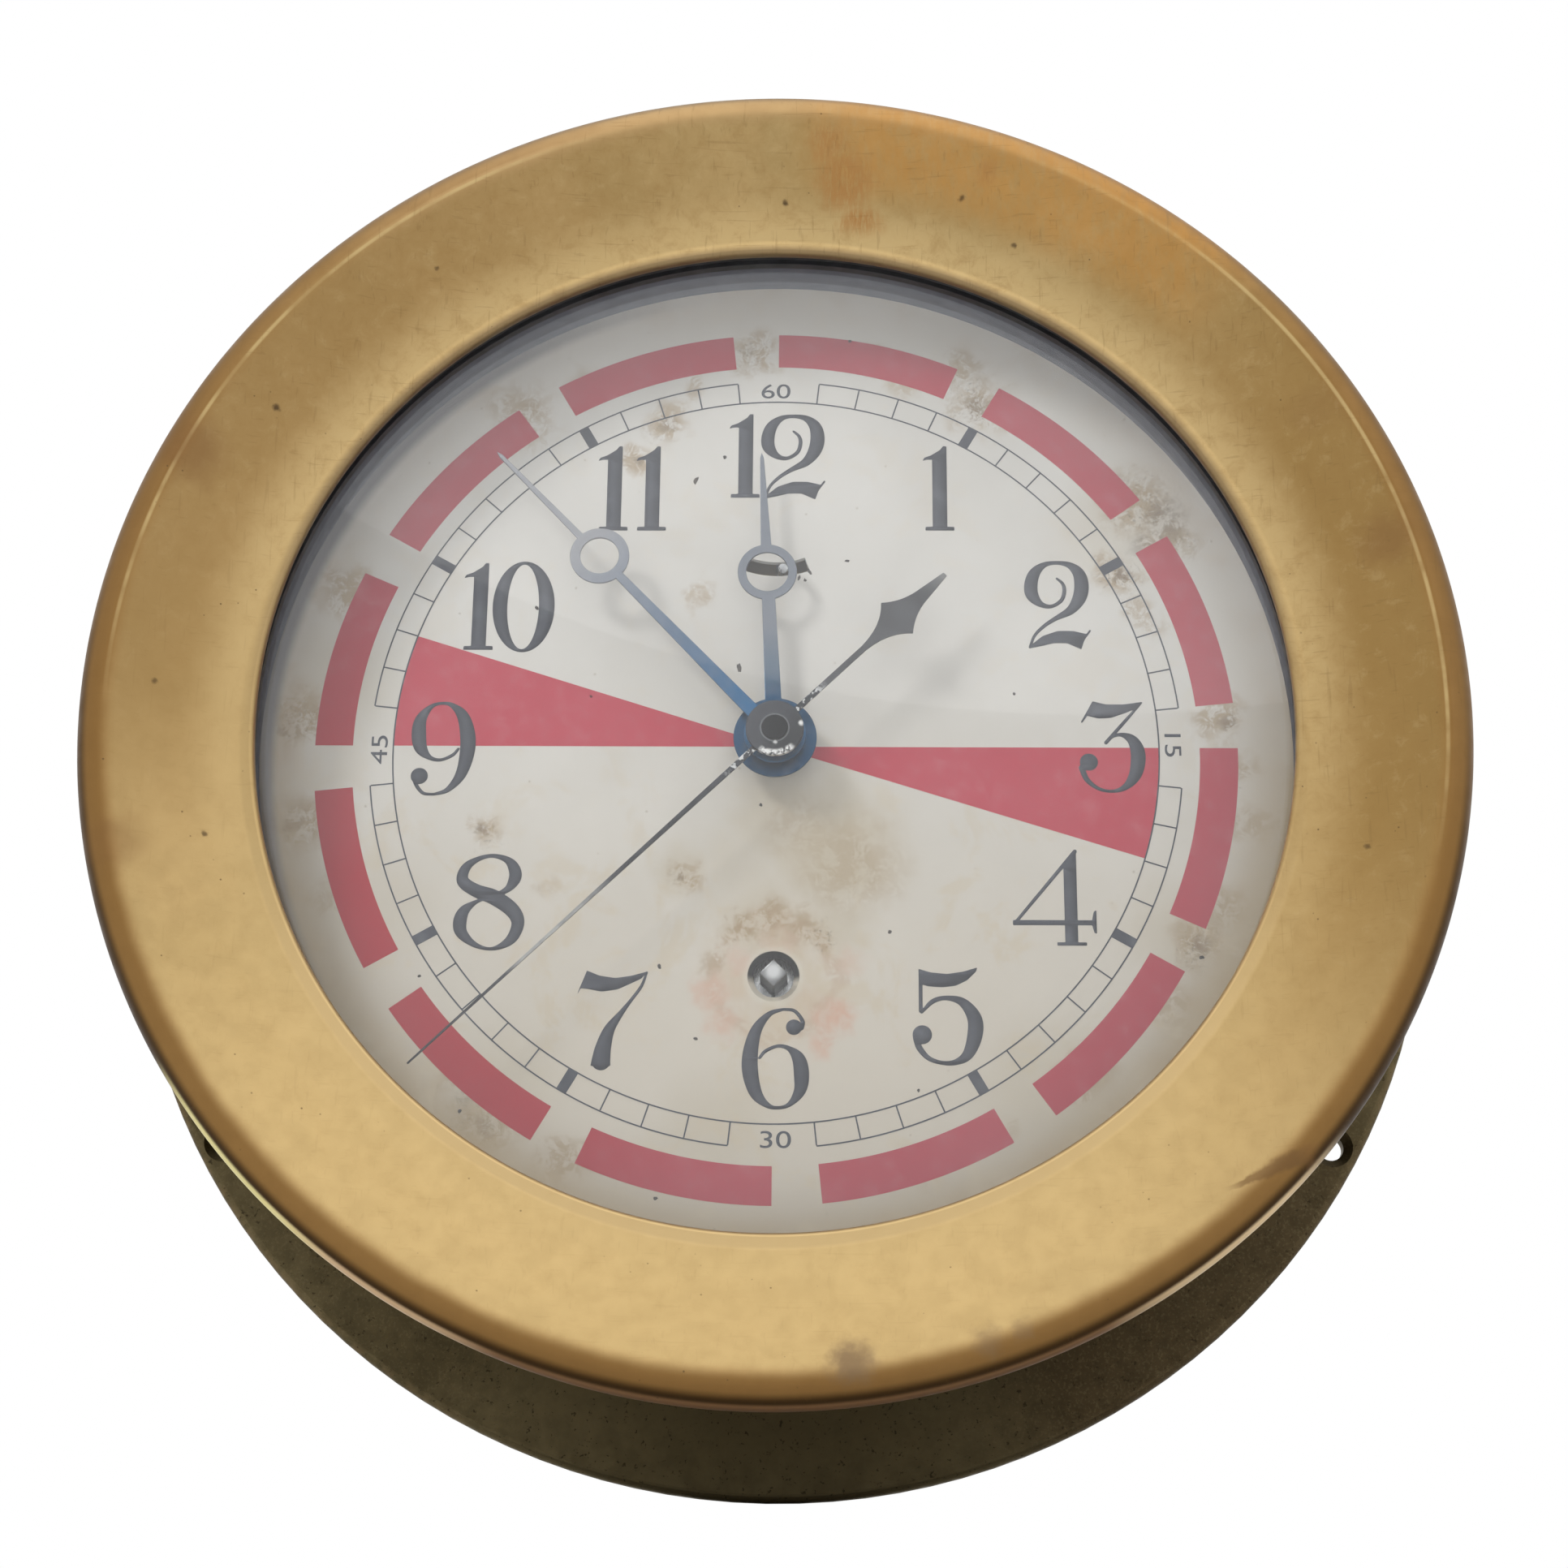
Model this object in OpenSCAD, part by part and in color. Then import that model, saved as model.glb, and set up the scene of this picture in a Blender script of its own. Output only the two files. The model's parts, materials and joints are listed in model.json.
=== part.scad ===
// Marine clock for a bulkhead: dished brass screw bezel, silvered dial, blued
// hands with rings, and an eight-day lever movement with centre seconds.
// The clock stands upright: the dial faces -Y, 12 o'clock points to +Z, and the
// origin is the centre of the back mounting face. Each piece is drawn lying on
// its back, with z along the hand axis and 12 o'clock towards +y, and upright()
// then stands it up. Angles on the dial run clockwise from 12.

/* [Case] */
// Radius of the mounting flange
flange_r = 106.7; // [102:0.1:115]
// Thickness of the mounting flange
flange_t = 3.5; // [3:0.1:6]
// Outer radius of the case drum
drum_r = 85; // [84.5:0.1:88]
// Wall of the case drum
drum_wall = 2.5; // [2:0.1:4]
// Thickness of the case's back wall
back_wall = 2.5; // [2:0.1:4]
// Width of the ledge that carries the dial
ledge_w = 3.5; // [3:0.1:6]
// Height of the ledge that carries the dial
ledge_h = 3; // [2.5:0.1:6]
// Distance of the wall screw holes inside the flange's rim
wall_screw_inset = 4.5; // [4:0.1:6]
// Number of wall screw holes
wall_screw_count = 3; // [3:1:6]
// Radius of a wall screw hole
wall_screw_r = 2; // [1.5:0.05:2.5]
// Radius of the countersink of a wall screw hole
wall_sink_r = 3.3; // [2.6:0.05:3.6]

/* [Bezel] */
// Radius over the rolled rim of the bezel
bezel_r = 100; // [98:0.1:104]
// How far the bezel's opening stands inside the drum's radius
opening_inset = 9.4; // [8.5:0.1:13]
// Height of the bezel's inner lip above the dial
lip_rise = 15.3; // [14.5:0.1:20]
// Thickness of the bezel's inner lip
lip_t = 1.3; // [1:0.1:2]
// Radius of the rolled bead round the rim
bead_r = 3.7; // [3:0.1:4.5]
// Height of the bead's centre above the dial
bead_rise = 19.4; // [18:0.1:23]
// How far the dished face sinks below a straight cone
dish_sag = 0.9; // [0:0.1:2]
// Wall of the threaded skirt
skirt_wall = 2.85; // [2:0.05:3.5]
// Length of skirt that laps over the case drum
skirt_lap = 7.2; // [6.5:0.1:10]
// Radial clearance between skirt and drum
thread_clear = 0.15; // [0.1:0.01:0.3]

/* [Glass] */
// How far the pane's edge stands inside the drum's radius
glass_inset = 4.3; // [4:0.1:5]
// Thickness of the pane
glass_t = 2.4; // [2:0.1:3]
// Thickness of the gasket in front of the pane
gasket_t = 1.6; // [1:0.1:2]
// Width of the gasket
gasket_w = 4.4; // [2.8:0.1:5]
// Thickness of the ring behind the pane
keeper_t = 1.4; // [1:0.1:2]
// Width of the ring behind the pane
keeper_w = 4.65; // [3:0.05:5.5]
// Clearance round the pane's ring in the bezel
keeper_clear = 0.1; // [0.08:0.01:0.2]

/* [Dial] */
// Thickness of the dial
dial_t = 1; // [0.8:0.1:1.5]
// Gap round the dial in the case
dial_gap = 0.3; // [0.2:0.05:0.6]
// How far the surround's wall stands inside the drum's radius
surround_inset = 7.4; // [6.6:0.1:8]
// Sheet thickness of the surround
surround_t = 1; // [0.8:0.1:1.2]
// Gap between the surround and the ring behind the pane
surround_gap = 0.4; // [0.3:0.05:1]
// Radius of the hole for the hands
dial_centre_r = 3.6; // [3.4:0.1:5]
// Radius of the winding hole
winding_hole_r = 3.8; // [3.5:0.1:5]
// Width of the regulator slot
slot_w = 2.3; // [1.8:0.1:3]
// Half angle of the regulator slot about the balance
slot_half_angle = 21; // [19:0.5:26]
// Number of dial screws
dial_screw_count = 3; // [3:1:6]
// Radius of a dial screw's head
dial_screw_head_r = 1.2; // [1:0.05:1.4]
// Radius of a dial screw's shank
dial_screw_r = 0.8; // [0.6:0.05:0.9]

/* [Hands] */
// Seconds that the hands show
shown_second = 37.6; // [0:0.1:59.9]
// Minutes that the hands show
shown_minute = 52.8; // [0:0.1:59.9]
// Hours that the hands show
shown_hour = 11.9; // [0:0.05:11.95]
// Thickness of the hour and minute hands
hand_t = 0.5; // [0.4:0.05:0.8]
// Height of the hour hand above the dial
hour_hand_rise = 3.8; // [3.4:0.1:4.2]
// Height of the minute hand above the dial
minute_hand_rise = 5.6; // [5.2:0.1:5.8]
// Height of the seconds hand above the dial
second_hand_rise = 7.4; // [7.3:0.1:7.8]
// Length of the hour hand
hour_hand_len = 46.8; // [40:0.1:50]
// Radius at which the hour hand has its ring
hour_ring_at = 26.8; // [22:0.1:32]
// Outer radius of the hour hand's ring
hour_ring_r = 4.5; // [3.5:0.1:6]
// Inner radius of the hour hand's ring
hour_ring_in_r = 3.2; // [1.5:0.1:3.4]
// Radius of the hour hand's hub
hour_hub_r = 6.2; // [5:0.1:7]
// Width of the hour hand's stem at the hub
hour_root_w = 2.6; // [2:0.1:3.5]
// Width of the hour hand's stem below its ring
hour_neck_w = 2; // [1.2:0.1:2.4]
// Width of the hour hand's point above its ring
hour_point_w = 1.7; // [1:0.1:2.2]
// Length of the minute hand
minute_hand_len = 63; // [55:0.1:70]
// Radius at which the minute hand has its ring
minute_ring_at = 39.2; // [34:0.1:45]
// Outer radius of the minute hand's ring
minute_ring_r = 4.5; // [3.5:0.1:6]
// Inner radius of the minute hand's ring
minute_ring_in_r = 2.95; // [1.5:0.05:3.4]
// Radius of the minute hand's hub
minute_hub_r = 4.6; // [4:0.1:5.4]
// Width of the minute hand's stem at the hub
minute_root_w = 2.3; // [1.6:0.1:3]
// Width of the minute hand's stem below its ring
minute_neck_w = 1.3; // [0.8:0.1:1.8]
// Width of the minute hand's point above its ring
minute_point_w = 1.1; // [0.7:0.1:1.6]
// Gap between the tip of the seconds hand and the surround
second_tip_gap = 5.2; // [2.6:0.1:12]
// Width of the seconds hand at its hub
second_root_w = 0.9; // [0.6:0.05:1.4]
// Width of the seconds hand at its tip
second_tip_w = 0.24; // [0.15:0.01:0.5]
// Radius at which the counterpoise begins
poise_neck_at = 18.4; // [15:0.1:21]
// Radius of the counterpoise's widest place
poise_wide_at = 25.4; // [23:0.1:28]
// Radius of the counterpoise's far tip
poise_tip_at = 35.6; // [32:0.1:40]
// Half width of the counterpoise
poise_half_w = 3.4; // [2:0.1:5]
// Radius of the disc over the seconds hand
collet_disc_r = 4.3; // [3.5:0.1:5.5]
// Thickness of the disc over the seconds hand
collet_disc_t = 0.7; // [0.5:0.05:1]
// Radius of the boss on that disc
collet_boss_r = 1.9; // [1.5:0.1:2.4]
// Height of the boss on that disc
collet_boss_t = 0.4; // [0.3:0.05:0.6]

/* [Movement frame] */
// Radius of the plates
plate_r = 58; // [56:0.1:64]
// Thickness of the plates
plate_t = 2; // [1.6:0.1:3]
// Space between the plates
plate_space = 26; // [25.4:0.1:28]
// Length of the posts behind the movement
post_len = 9.5; // [9:0.1:14]
// Radius of the posts behind the movement
post_r = 4; // [3:0.1:5]
// Space between the front plate and the dial
under_dial = 5; // [5:0.1:6]
// Radius at which the pillars stand
pillar_at = 51.5; // [50:0.1:53]
// Radius of a pillar
pillar_r = 2.8; // [2.4:0.1:3.5]
// Radius of the pillar screws
pillar_screw_r = 1.1; // [0.8:0.05:1.3]
// Radius of the pillar screws' heads
pillar_head_r = 2.2; // [1.8:0.1:2.8]
// Radius of the screws through the case's back
movement_screw_r = 1.5; // [1.2:0.05:2]
// Wall of the pivot bushes
bush_wall = 1.2; // [0.8:0.05:1.4]
// Radial clearance of a pivot
pivot_clear = 0.04; // [0.02:0.01:0.08]

/* [Train] */
// Distance of the winding arbor below the centre
barrel_drop = 35.6; // [34.6:0.1:37]
// Distance of the balance above the centre
balance_rise = 42; // [41:0.1:44]
// Teeth of the barrel
barrel_teeth = 72; // [70:1:76]
// Leaves of the intermediate pinion
intermediate_leaves = 12; // [10:1:12]
// Teeth of the intermediate wheel
intermediate_teeth = 60; // [58:1:62]
// Leaves of the centre pinion
centre_leaves = 12; // [11:1:13]
// Teeth of the centre wheel
centre_teeth = 80; // [76:1:84]
// Leaves of the third pinion
third_leaves = 10; // [8:1:12]
// Teeth of the third wheel
third_teeth = 75; // [72:1:80]
// Leaves of the fourth pinion
fourth_leaves = 10; // [8:1:12]
// Teeth of the fourth wheel
fourth_teeth = 70; // [68:1:71]
// Leaves of the escape pinion
escape_leaves = 7; // [6:1:8]
// Teeth of the escape wheel
escape_teeth = 15; // [12:1:18]
// Leaves of the cannon pinion
cannon_leaves = 12; // [10:1:14]
// Teeth of the minute wheel
minute_teeth = 36; // [34:1:38]
// Leaves of the minute pinion
minute_leaves = 10; // [8:1:12]
// Teeth of the hour wheel
hour_teeth = 40; // [36:1:42]
// Angle of the intermediate arbor about the centre, from straight down
intermediate_angle = 26.16; // [25:0.01:28]
// Module of the intermediate wheel and centre pinion
intermediate_module = 0.5; // [0.49:0.005:0.52]
// Distance from the centre to the third arbor
third_dist = 18; // [17.8:0.1:18.6]
// Module of the fourth wheel and escape pinion
fourth_module = 0.46; // [0.45:0.005:0.465]
// Distance from the centre to the minute wheel's stud
motion_dist = 9.6; // [9.4:0.1:10.4]
// Thickness of the train wheels
wheel_t = 1.2; // [1:0.1:1.4]
// Width of the wheels' rims inside the teeth
rim_w = 1.6; // [1.2:0.1:2]
// Width of the wheels' arms
arm_w = 1.4; // [1:0.1:2]
// Radius of the escape wheel
escape_r = 7; // [6.8:0.05:7.1]

/* [Barrel] */
// How far the barrel's drum stands inside the roots of its teeth
barrel_step = 0.18; // [0.1:0.01:0.5]
// Height of the barrel
barrel_h = 17.8; // [17:0.1:18]
// Wall of the barrel drum
barrel_wall = 1.2; // [1:0.1:1.5]
// Radius of the arbor's core inside the barrel
core_r = 5; // [4.5:0.1:5.5]
// Radius of the arbor in its bearings
arbor_r = 3; // [2.9:0.05:3.1]
// Width across the flats of the winding square
square_w = 3; // [2.6:0.1:3.4]
// Angle at which the winding square has stopped
square_turn = 45; // [0:1:89]
// How far the winding square stands above the dial's face
square_rise = 2; // [1:0.1:2.4]
// Turns of the mainspring
mainspring_turns = 7; // [5:1:8]
// Thickness of the mainspring
mainspring_t = 0.5; // [0.3:0.05:0.6]
// Radius of the ratchet wheel
ratchet_r = 9; // [8.5:0.1:9.4]
// Teeth of the ratchet wheel
ratchet_teeth = 24; // [20:1:30]
// Length of the click from its screw to its nose
click_reach = 8; // [7.4:0.1:9.5]
// Thickness of the ratchet wheel and click
ratchet_t = 1.6; // [1.2:0.1:2]

/* [Escapement] */
// Radius of the balance rim
balance_r = 10.5; // [9.5:0.1:11]
// Width of the balance rim
balance_rim_w = 1.5; // [1.2:0.1:2]
// Thickness of the balance rim
balance_t = 1.4; // [1:0.1:1.8]
// Number of timing screws on the rim
timing_screw_count = 8; // [4:2:12]
// Turns of the hairspring
hairspring_turns = 4; // [3:1:4]
// Radius of the hairspring's outer coil
hairspring_r = 5.6; // [5.2:0.1:6]
// Thickness of the hairspring
hairspring_t = 0.18; // [0.15:0.01:0.22]
// Radius at which the impulse pin goes round
impulse_at = 2.5; // [2.3:0.05:2.6]
// Radius of the impulse pin
impulse_pin_r = 0.35; // [0.3:0.01:0.4]
// Running gap round the wheel's tips and the impulse pin
escape_gap = 0.2; // [0.15:0.01:0.3]
// Distance from the balance to the regulator's pin
regulator_reach = 13; // [12.8:0.1:13.4]
// Angle of the regulator from its middle
regulator_angle = 4; // [-10:0.5:10]
// Radius of the regulator's pin
regulator_pin_r = 0.75; // [0.6:0.05:0.8]

/* [Hidden] */
$fn = 96;
eps = 0.01;
// Gap between pieces that are pressed or screwed together
fit_gap = 0.02;
// Gap between parts that turn against each other end to end
end_gap = 0.1;

// Heights above the mounting face
back_plate_z = back_wall + post_len;
inside_z = back_plate_z + plate_t;
front_plate_z = inside_z + plate_space;
front_face_z = front_plate_z + plate_t;
dial_back_z = front_face_z + under_dial;
dial_z = dial_back_z + dial_t;
lip_z = dial_z + lip_rise;
lip_back_z = lip_z - lip_t;
gasket_z = lip_back_z - gasket_t;
glass_z = gasket_z - glass_t;
keeper_z = glass_z - keeper_t;
drum_front_z = keeper_z - surround_gap;
bead_z = dial_z + bead_rise;
skirt_z = drum_front_z - skirt_lap;
skirt_step_z = drum_front_z + 0.8;

wall_screw_circle_r = flange_r - wall_screw_inset;
drum_in_r = drum_r - drum_wall;
dial_r = drum_in_r - dial_gap;
ledge_in_r = drum_in_r - ledge_w;
opening_r = drum_r - opening_inset;
glass_r = drum_r - glass_inset;
seat_r = glass_r + 0.45;
gasket_in_r = glass_r - gasket_w;
keeper_r = seat_r - keeper_clear;
keeper_in_r = keeper_r - keeper_w;
surround_in_r = drum_r - surround_inset;
skirt_in_r = drum_r + thread_clear;
skirt_out_r = skirt_in_r + skirt_wall;
bead_at = bezel_r - bead_r;
dial_screw_at = (surround_in_r + surround_t + dial_r) / 2;

hour_hand_z = dial_z + hour_hand_rise;
minute_hand_z = dial_z + minute_hand_rise;
second_hand_z = dial_z + second_hand_rise;
second_hand_t = 0.35;
collet_z = second_hand_z + second_hand_t;
collet_top_z = collet_z + collet_disc_t + collet_boss_t;
second_hand_len = surround_in_r - second_tip_gap;
second_angle = shown_second * 6;
minute_angle = shown_minute * 6;
hour_angle = shown_hour * 30;

// Arbor radii
second_hub_r = 3;
collet_pipe_r = 1.4;
seconds_arbor_r = 0.75;
seconds_bore_r = seconds_arbor_r + 0.08;
centre_arbor_r = 1.7;
centre_front_r = 1.35;
cannon_pipe_r = 2.1;
hour_pipe_in_r = cannon_pipe_r + 0.06;
hour_pipe_r = 3;
train_arbor_r = 0.9;
intermediate_arbor_r = 1;
escape_arbor_r = 0.7;
train_pivot_r = 0.5;
pallet_arbor_r = train_pivot_r;
stud_r = 0.8;

// Gear sizes
third_module = 2 * third_dist / (third_teeth + fourth_leaves);
centre_module = 2 * third_dist / (centre_teeth + third_leaves);
cannon_module = 2 * motion_dist / (cannon_leaves + minute_teeth);
hour_module = 2 * motion_dist / (minute_leaves + hour_teeth);
intermediate_dist = intermediate_module * (intermediate_teeth + centre_leaves) / 2;
escape_dist = fourth_module * (fourth_teeth + escape_leaves) / 2;
pallet_dist = escape_r / cos(30);

// Places of the arbors, looking at the dial
centre_at = [0, 0];
barrel_at = [0, -barrel_drop];
balance_at = [0, balance_rise];
escape_at = [0, escape_dist];
pallet_at = [0, escape_dist + pallet_dist];
third_at = third_dist * [-cos(19), sin(19)];
minute_at = [motion_dist, 0];
intermediate_at = intermediate_dist * [sin(intermediate_angle), -cos(intermediate_angle)];

// The barrel's teeth are cut for its distance from the intermediate arbor
barrel_dist = norm(intermediate_at - barrel_at);
barrel_module = 2 * barrel_dist / (barrel_teeth + intermediate_leaves);
barrel_r = barrel_module * (barrel_teeth / 2 - 1.25) - barrel_step;

// Half the angle that the two stones span on the escape wheel
stone_half_span = 30;
stone_w = 0.9;
stone_len = 1.55;
// Distance of a stone's inner end from the escape wheel's axis
stone_end = escape_r + escape_gap + 0.5;

// Heights of the wheels above the inner face of the back plate
barrel_z = inside_z + 1.6;
barrel_top_z = barrel_z + barrel_h;
barrel_tooth_h = 2.4;
fourth_wheel_z = inside_z + 3;
third_wheel_z = inside_z + 8;
escape_wheel_z = inside_z + 11;
centre_wheel_z = inside_z + 14;
intermediate_wheel_z = front_plate_z - 4;
centre_arbor_z = third_wheel_z + wheel_t + 2.4;
balance_z = inside_z + 15;
roller_z = escape_wheel_z + 1.4;
hairspring_z = front_plate_z - 6;
hairspring_h = 0.9;

// Heights in front of the front plate
cannon_z = front_face_z + 0.4;
cannon_leaf_h = 1.6;
minute_wheel_z = front_face_z + 0.6;
minute_pinion_z = minute_wheel_z + 1;
minute_pinion_h = 2.6;
hour_wheel_z = front_face_z + 2.8;
motion_t = 1;
ratchet_z = front_face_z + 0.3;
square_top_z = dial_z + square_rise;
index_z = front_face_z + 0.15;
index_t = 0.85;
bush_head_z = index_z + index_t + 0.1;

// Click and its spring, beside the ratchet wheel
click_nose = 0.55;
click_at = barrel_at + [ratchet_r + escape_gap + click_nose, click_reach];
click_pivot_r = 1.2;
click_hub_r = 2.4;
click_spring_foot = [6.75, 3];
click_spring_pin_r = 0.7;
click_spring_h = 1;

pillar_angles = [30, 150, 210, 330];
// Gap between the lowest post and the barrel's back bush
post_gap = 0.16;
post_at = barrel_drop + arbor_r + pivot_clear + bush_wall + post_gap + post_r;
post_tenon_r = 2;
// How deep the screws through the case's back go into the posts
movement_screw_reach = 6.5;
movement_screw_slot = 0.6;
post_angles = [60, 180, 300];
curb_gap = 0.16;
curb_pin_r = 0.15;
// Angle of the hairspring's true outer coil, from the regulator to the stud
hairspring_arc = 205;
staff_collet_r = 1.3;
hairspring_stud_r = 0.7;
hairspring_stud_at = balance_at + [0, hairspring_r + hairspring_t / 2 + hairspring_stud_r + 0.1];
balance_bush_r = 2.6;
regulator_hub_r = 4.4;

// Points of an arc about c
function arc(c, r, a0, a1, n) =
    [for (i = [0:n]) let (a = a0 + (a1 - a0) * i / n) c + r * [cos(a), sin(a)]];

// A point at radius r and angle a from 12 o'clock
function clock(r, a) = r * [sin(a), cos(a)];

// Mathematical angle of the line from p to q
function bearing(p, q) = atan2(q[1] - p[1], q[0] - p[0]);

// Angle at which a pinion stands so that its gap meets the wheel's tooth
function mesh_angle(from, to, leaves) = bearing(to, from) + 180 / leaves;

// One point of a tooth, at radius r and an offset in parts of the tooth pitch
function tooth_point(r, n, i, part, turn) =
    let (a = turn + 360 * (i + part) / n) r * [cos(a), sin(a)];

// Outline of a wheel that drives: ogive tips and parallel flanks
function wheel_outline(n, m, turn) = [for (i = [0:n - 1])
    for (q = [[-1.25, -0.2], [0, -0.21], [0.5, -0.15], [0.9, -0.05],
        [0.9, 0.05], [0.5, 0.15], [0, 0.21], [-1.25, 0.2]])
        tooth_point(m * (n / 2 + q[0]), n, i, q[1], turn)];

// Outline of a pinion that is driven: radial flanks and round tips
function pinion_outline(n, m, turn) = [for (i = [0:n - 1])
    for (q = [[-1.25, -0.16], [0, -0.17], [0.4, -0.13], [0.7, -0.05],
        [0.7, 0.05], [0.4, 0.13], [0, 0.17], [-1.25, 0.16]])
        tooth_point(m * (n / 2 + q[0]), n, i, q[1], turn)];

// Outline of a flat spiral strip
function spiral_edge(r0, r1, turns, off) =
    let (n = turns * 28)
    [for (i = [0:n]) let (a = 360 * turns * i / n) (r0 + (r1 - r0) * i / n + off) * [cos(a), sin(a)]];
function reversed(list) = [for (i = [len(list) - 1:-1:0]) list[i]];
function spiral(r0, r1, turns, t) =
    concat(spiral_edge(r0, r1, turns, t / 2), reversed(spiral_edge(r0, r1, turns, -t / 2)));

module upright() {
    rotate([90, 0, 0]) children();
}

module at(p, z = 0) {
    translate([p[0], p[1], z]) children();
}

module around(count, r, start = 0) {
    for (i = [0:count - 1]) {
        at(clock(r, start + i * 360 / count)) children();
    }
}

module rod(r, z0, z1) {
    translate([0, 0, z0]) cylinder(r = r, h = z1 - z0);
}

module ring(r_out, r_in, z0, z1) {
    difference() {
        rod(r_out, z0, z1);
        rod(r_in, z0 - 1, z1 + 1);
    }
}

// A toothed wheel with arms, its bore fitted to an arbor
module crossed_wheel(teeth, m, turn, bore_r, z0, t, arms = 5) {
    root_r = m * (teeth / 2 - 1.25);
    hub_r = bore_r + 1.5;
    difference() {
        translate([0, 0, z0]) linear_extrude(t) polygon(wheel_outline(teeth, m, turn));
        rod(bore_r, z0 - 1, z0 + t + 1);
        difference() {
            ring(root_r - rim_w, hub_r, z0 - 1, z0 + t + 1);
            for (i = [0:arms - 1]) {
                rotate(i * 360 / arms + 11) translate([0, -arm_w / 2, z0 - 2])
                    cube([root_r, arm_w, t + 4]);
            }
        }
    }
}

// The leaves of a pinion
module leaves(count, m, turn, z0, h) {
    translate([0, 0, z0]) linear_extrude(h) polygon(pinion_outline(count, m, turn));
}

// A plain arbor between the plates with a pivot at each end
module arbor(r) {
    rod(r, inside_z + 0.4, front_plate_z - 0.4);
    rod(train_pivot_r, back_plate_z + 0.3, front_face_z - 0.1);
}

// Arbors that have the same pivots in both plates
pivot_places = [intermediate_at, third_at, escape_at, pallet_at];

module case_profile() {
    rotate_extrude($fn = 192) polygon(concat(
        [[0, 0]],
        arc([flange_r - 0.8, 0.8], 0.8, -90, 0, 3),
        arc([flange_r - 1.2, flange_t - 1.2], 1.2, 0, 90, 5),
        arc([drum_r + 2.5, flange_t + 2.5], 2.5, 270, 180, 5),
        [[drum_r, drum_front_z - 0.6], [drum_r - 0.6, drum_front_z],
            [drum_in_r, drum_front_z], [drum_in_r, dial_back_z],
            [ledge_in_r, dial_back_z], [ledge_in_r, dial_back_z - ledge_h],
            [drum_in_r, dial_back_z - ledge_h - ledge_w], [drum_in_r, back_wall],
            [0, back_wall]]));
}

module case() {
    sink_h = wall_sink_r - wall_screw_r;
    color([0.25, 0.22, 0.16]) upright() difference() {
        case_profile();
        around(wall_screw_count, wall_screw_circle_r) {
            rod(wall_screw_r, -1, flange_t + 1);
            translate([0, 0, flange_t - sink_h])
                cylinder(r1 = wall_screw_r, r2 = wall_sink_r + eps, h = sink_h + eps);
        }
        around(dial_screw_count, dial_screw_at, 60) rod(dial_screw_r, dial_back_z - 2, dial_back_z + 1);
        for (a = post_angles) {
            at(clock(post_at, a)) {
                rod(movement_screw_r + 0.1, -1, back_wall + 1);
                translate([0, 0, -eps]) cylinder(r1 = movement_screw_r * 2 + 0.1, r2 = movement_screw_r + 0.1,
                    h = movement_screw_r);
            }
        }
    }
}

module bezel_ring() {
    face_start = [opening_r + 1.8, lip_z + 0.1];
    face_end = [bead_at, bead_z] + bead_r * [cos(125), sin(125)];
    face = [for (i = [0:10]) let (t = i / 10)
        face_start + (face_end - face_start) * t - [0, 4 * dish_sag * t * (1 - t)]];
    color([0.76, 0.6, 0.32]) upright() rotate_extrude($fn = 192) polygon(concat(
        [[opening_r + 0.3, lip_back_z], [opening_r, lip_back_z + 0.3]],
        arc([opening_r + 0.7, lip_z - 0.3], 0.7, 180, 90, 4),
        face,
        arc([bead_at, bead_z], bead_r, 117, -140, 24),
        [[bead_at - 4.4, bead_z - 1.9], [skirt_out_r, bead_z - 4.6],
            [skirt_out_r, skirt_z + 0.5], [skirt_out_r - 0.5, skirt_z],
            [skirt_in_r, skirt_z], [skirt_in_r, skirt_step_z],
            [seat_r, skirt_step_z], [seat_r, lip_back_z]]));
}

module bezel_gasket() {
    color([0.09, 0.09, 0.1]) upright()
        ring(glass_r, gasket_in_r, gasket_z, lip_back_z - end_gap);
}

module glass() {
    color([0.8, 0.9, 0.9, 0.35]) upright() rod(glass_r, glass_z, gasket_z);
}

module glass_keeper_ring() {
    color([0.16, 0.16, 0.18]) upright() ring(keeper_r, keeper_in_r, keeper_z, glass_z);
}

module dial_surround() {
    color([0.4, 0.42, 0.47]) upright() difference() {
        union() {
            ring(surround_in_r + surround_t, surround_in_r, dial_z, drum_front_z);
            ring(dial_r, surround_in_r, dial_z, dial_z + surround_t);
        }
        around(dial_screw_count, dial_screw_at, 60) rod(dial_screw_r, dial_z - 1, dial_z + surround_t + 1);
    }
}

// The curved slot that the regulator's pin moves in
module regulator_slot(reach, width, z0, z1) {
    at(balance_at) {
        intersection() {
            ring(reach + width / 2, reach - width / 2, z0, z1);
            translate([0, 0, z0]) linear_extrude(z1 - z0) polygon([[0, 0],
                2 * reach * [-sin(slot_half_angle), -cos(slot_half_angle)],
                2 * reach * [sin(slot_half_angle), -cos(slot_half_angle)]]);
        }
    }
}

module dial() {
    color([0.8, 0.8, 0.77]) upright() difference() {
        rod(dial_r, dial_back_z, dial_z, $fn = 192);
        rod(dial_centre_r, dial_back_z - 1, dial_z + 1);
        at(barrel_at) rod(winding_hole_r, dial_back_z - 1, dial_z + 1);
        regulator_slot(regulator_reach, slot_w, dial_back_z - 1, dial_z + 1);
        around(dial_screw_count, dial_screw_at, 60) rod(dial_screw_r, dial_back_z - 1, dial_z + 1);
    }
}

module dial_screws() {
    foot_z = dial_z + surround_t;
    color([0.6, 0.55, 0.4]) upright() around(dial_screw_count, dial_screw_at, 60) {
        difference() {
            rod(dial_screw_head_r, foot_z, foot_z + 0.9, $fn = 32);
            translate([-2, -0.15, foot_z + 0.5]) cube([4, 0.3, 1]);
        }
        rod(dial_screw_r - fit_gap, dial_back_z - 1.8, foot_z + eps, $fn = 32);
    }
}

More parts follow.
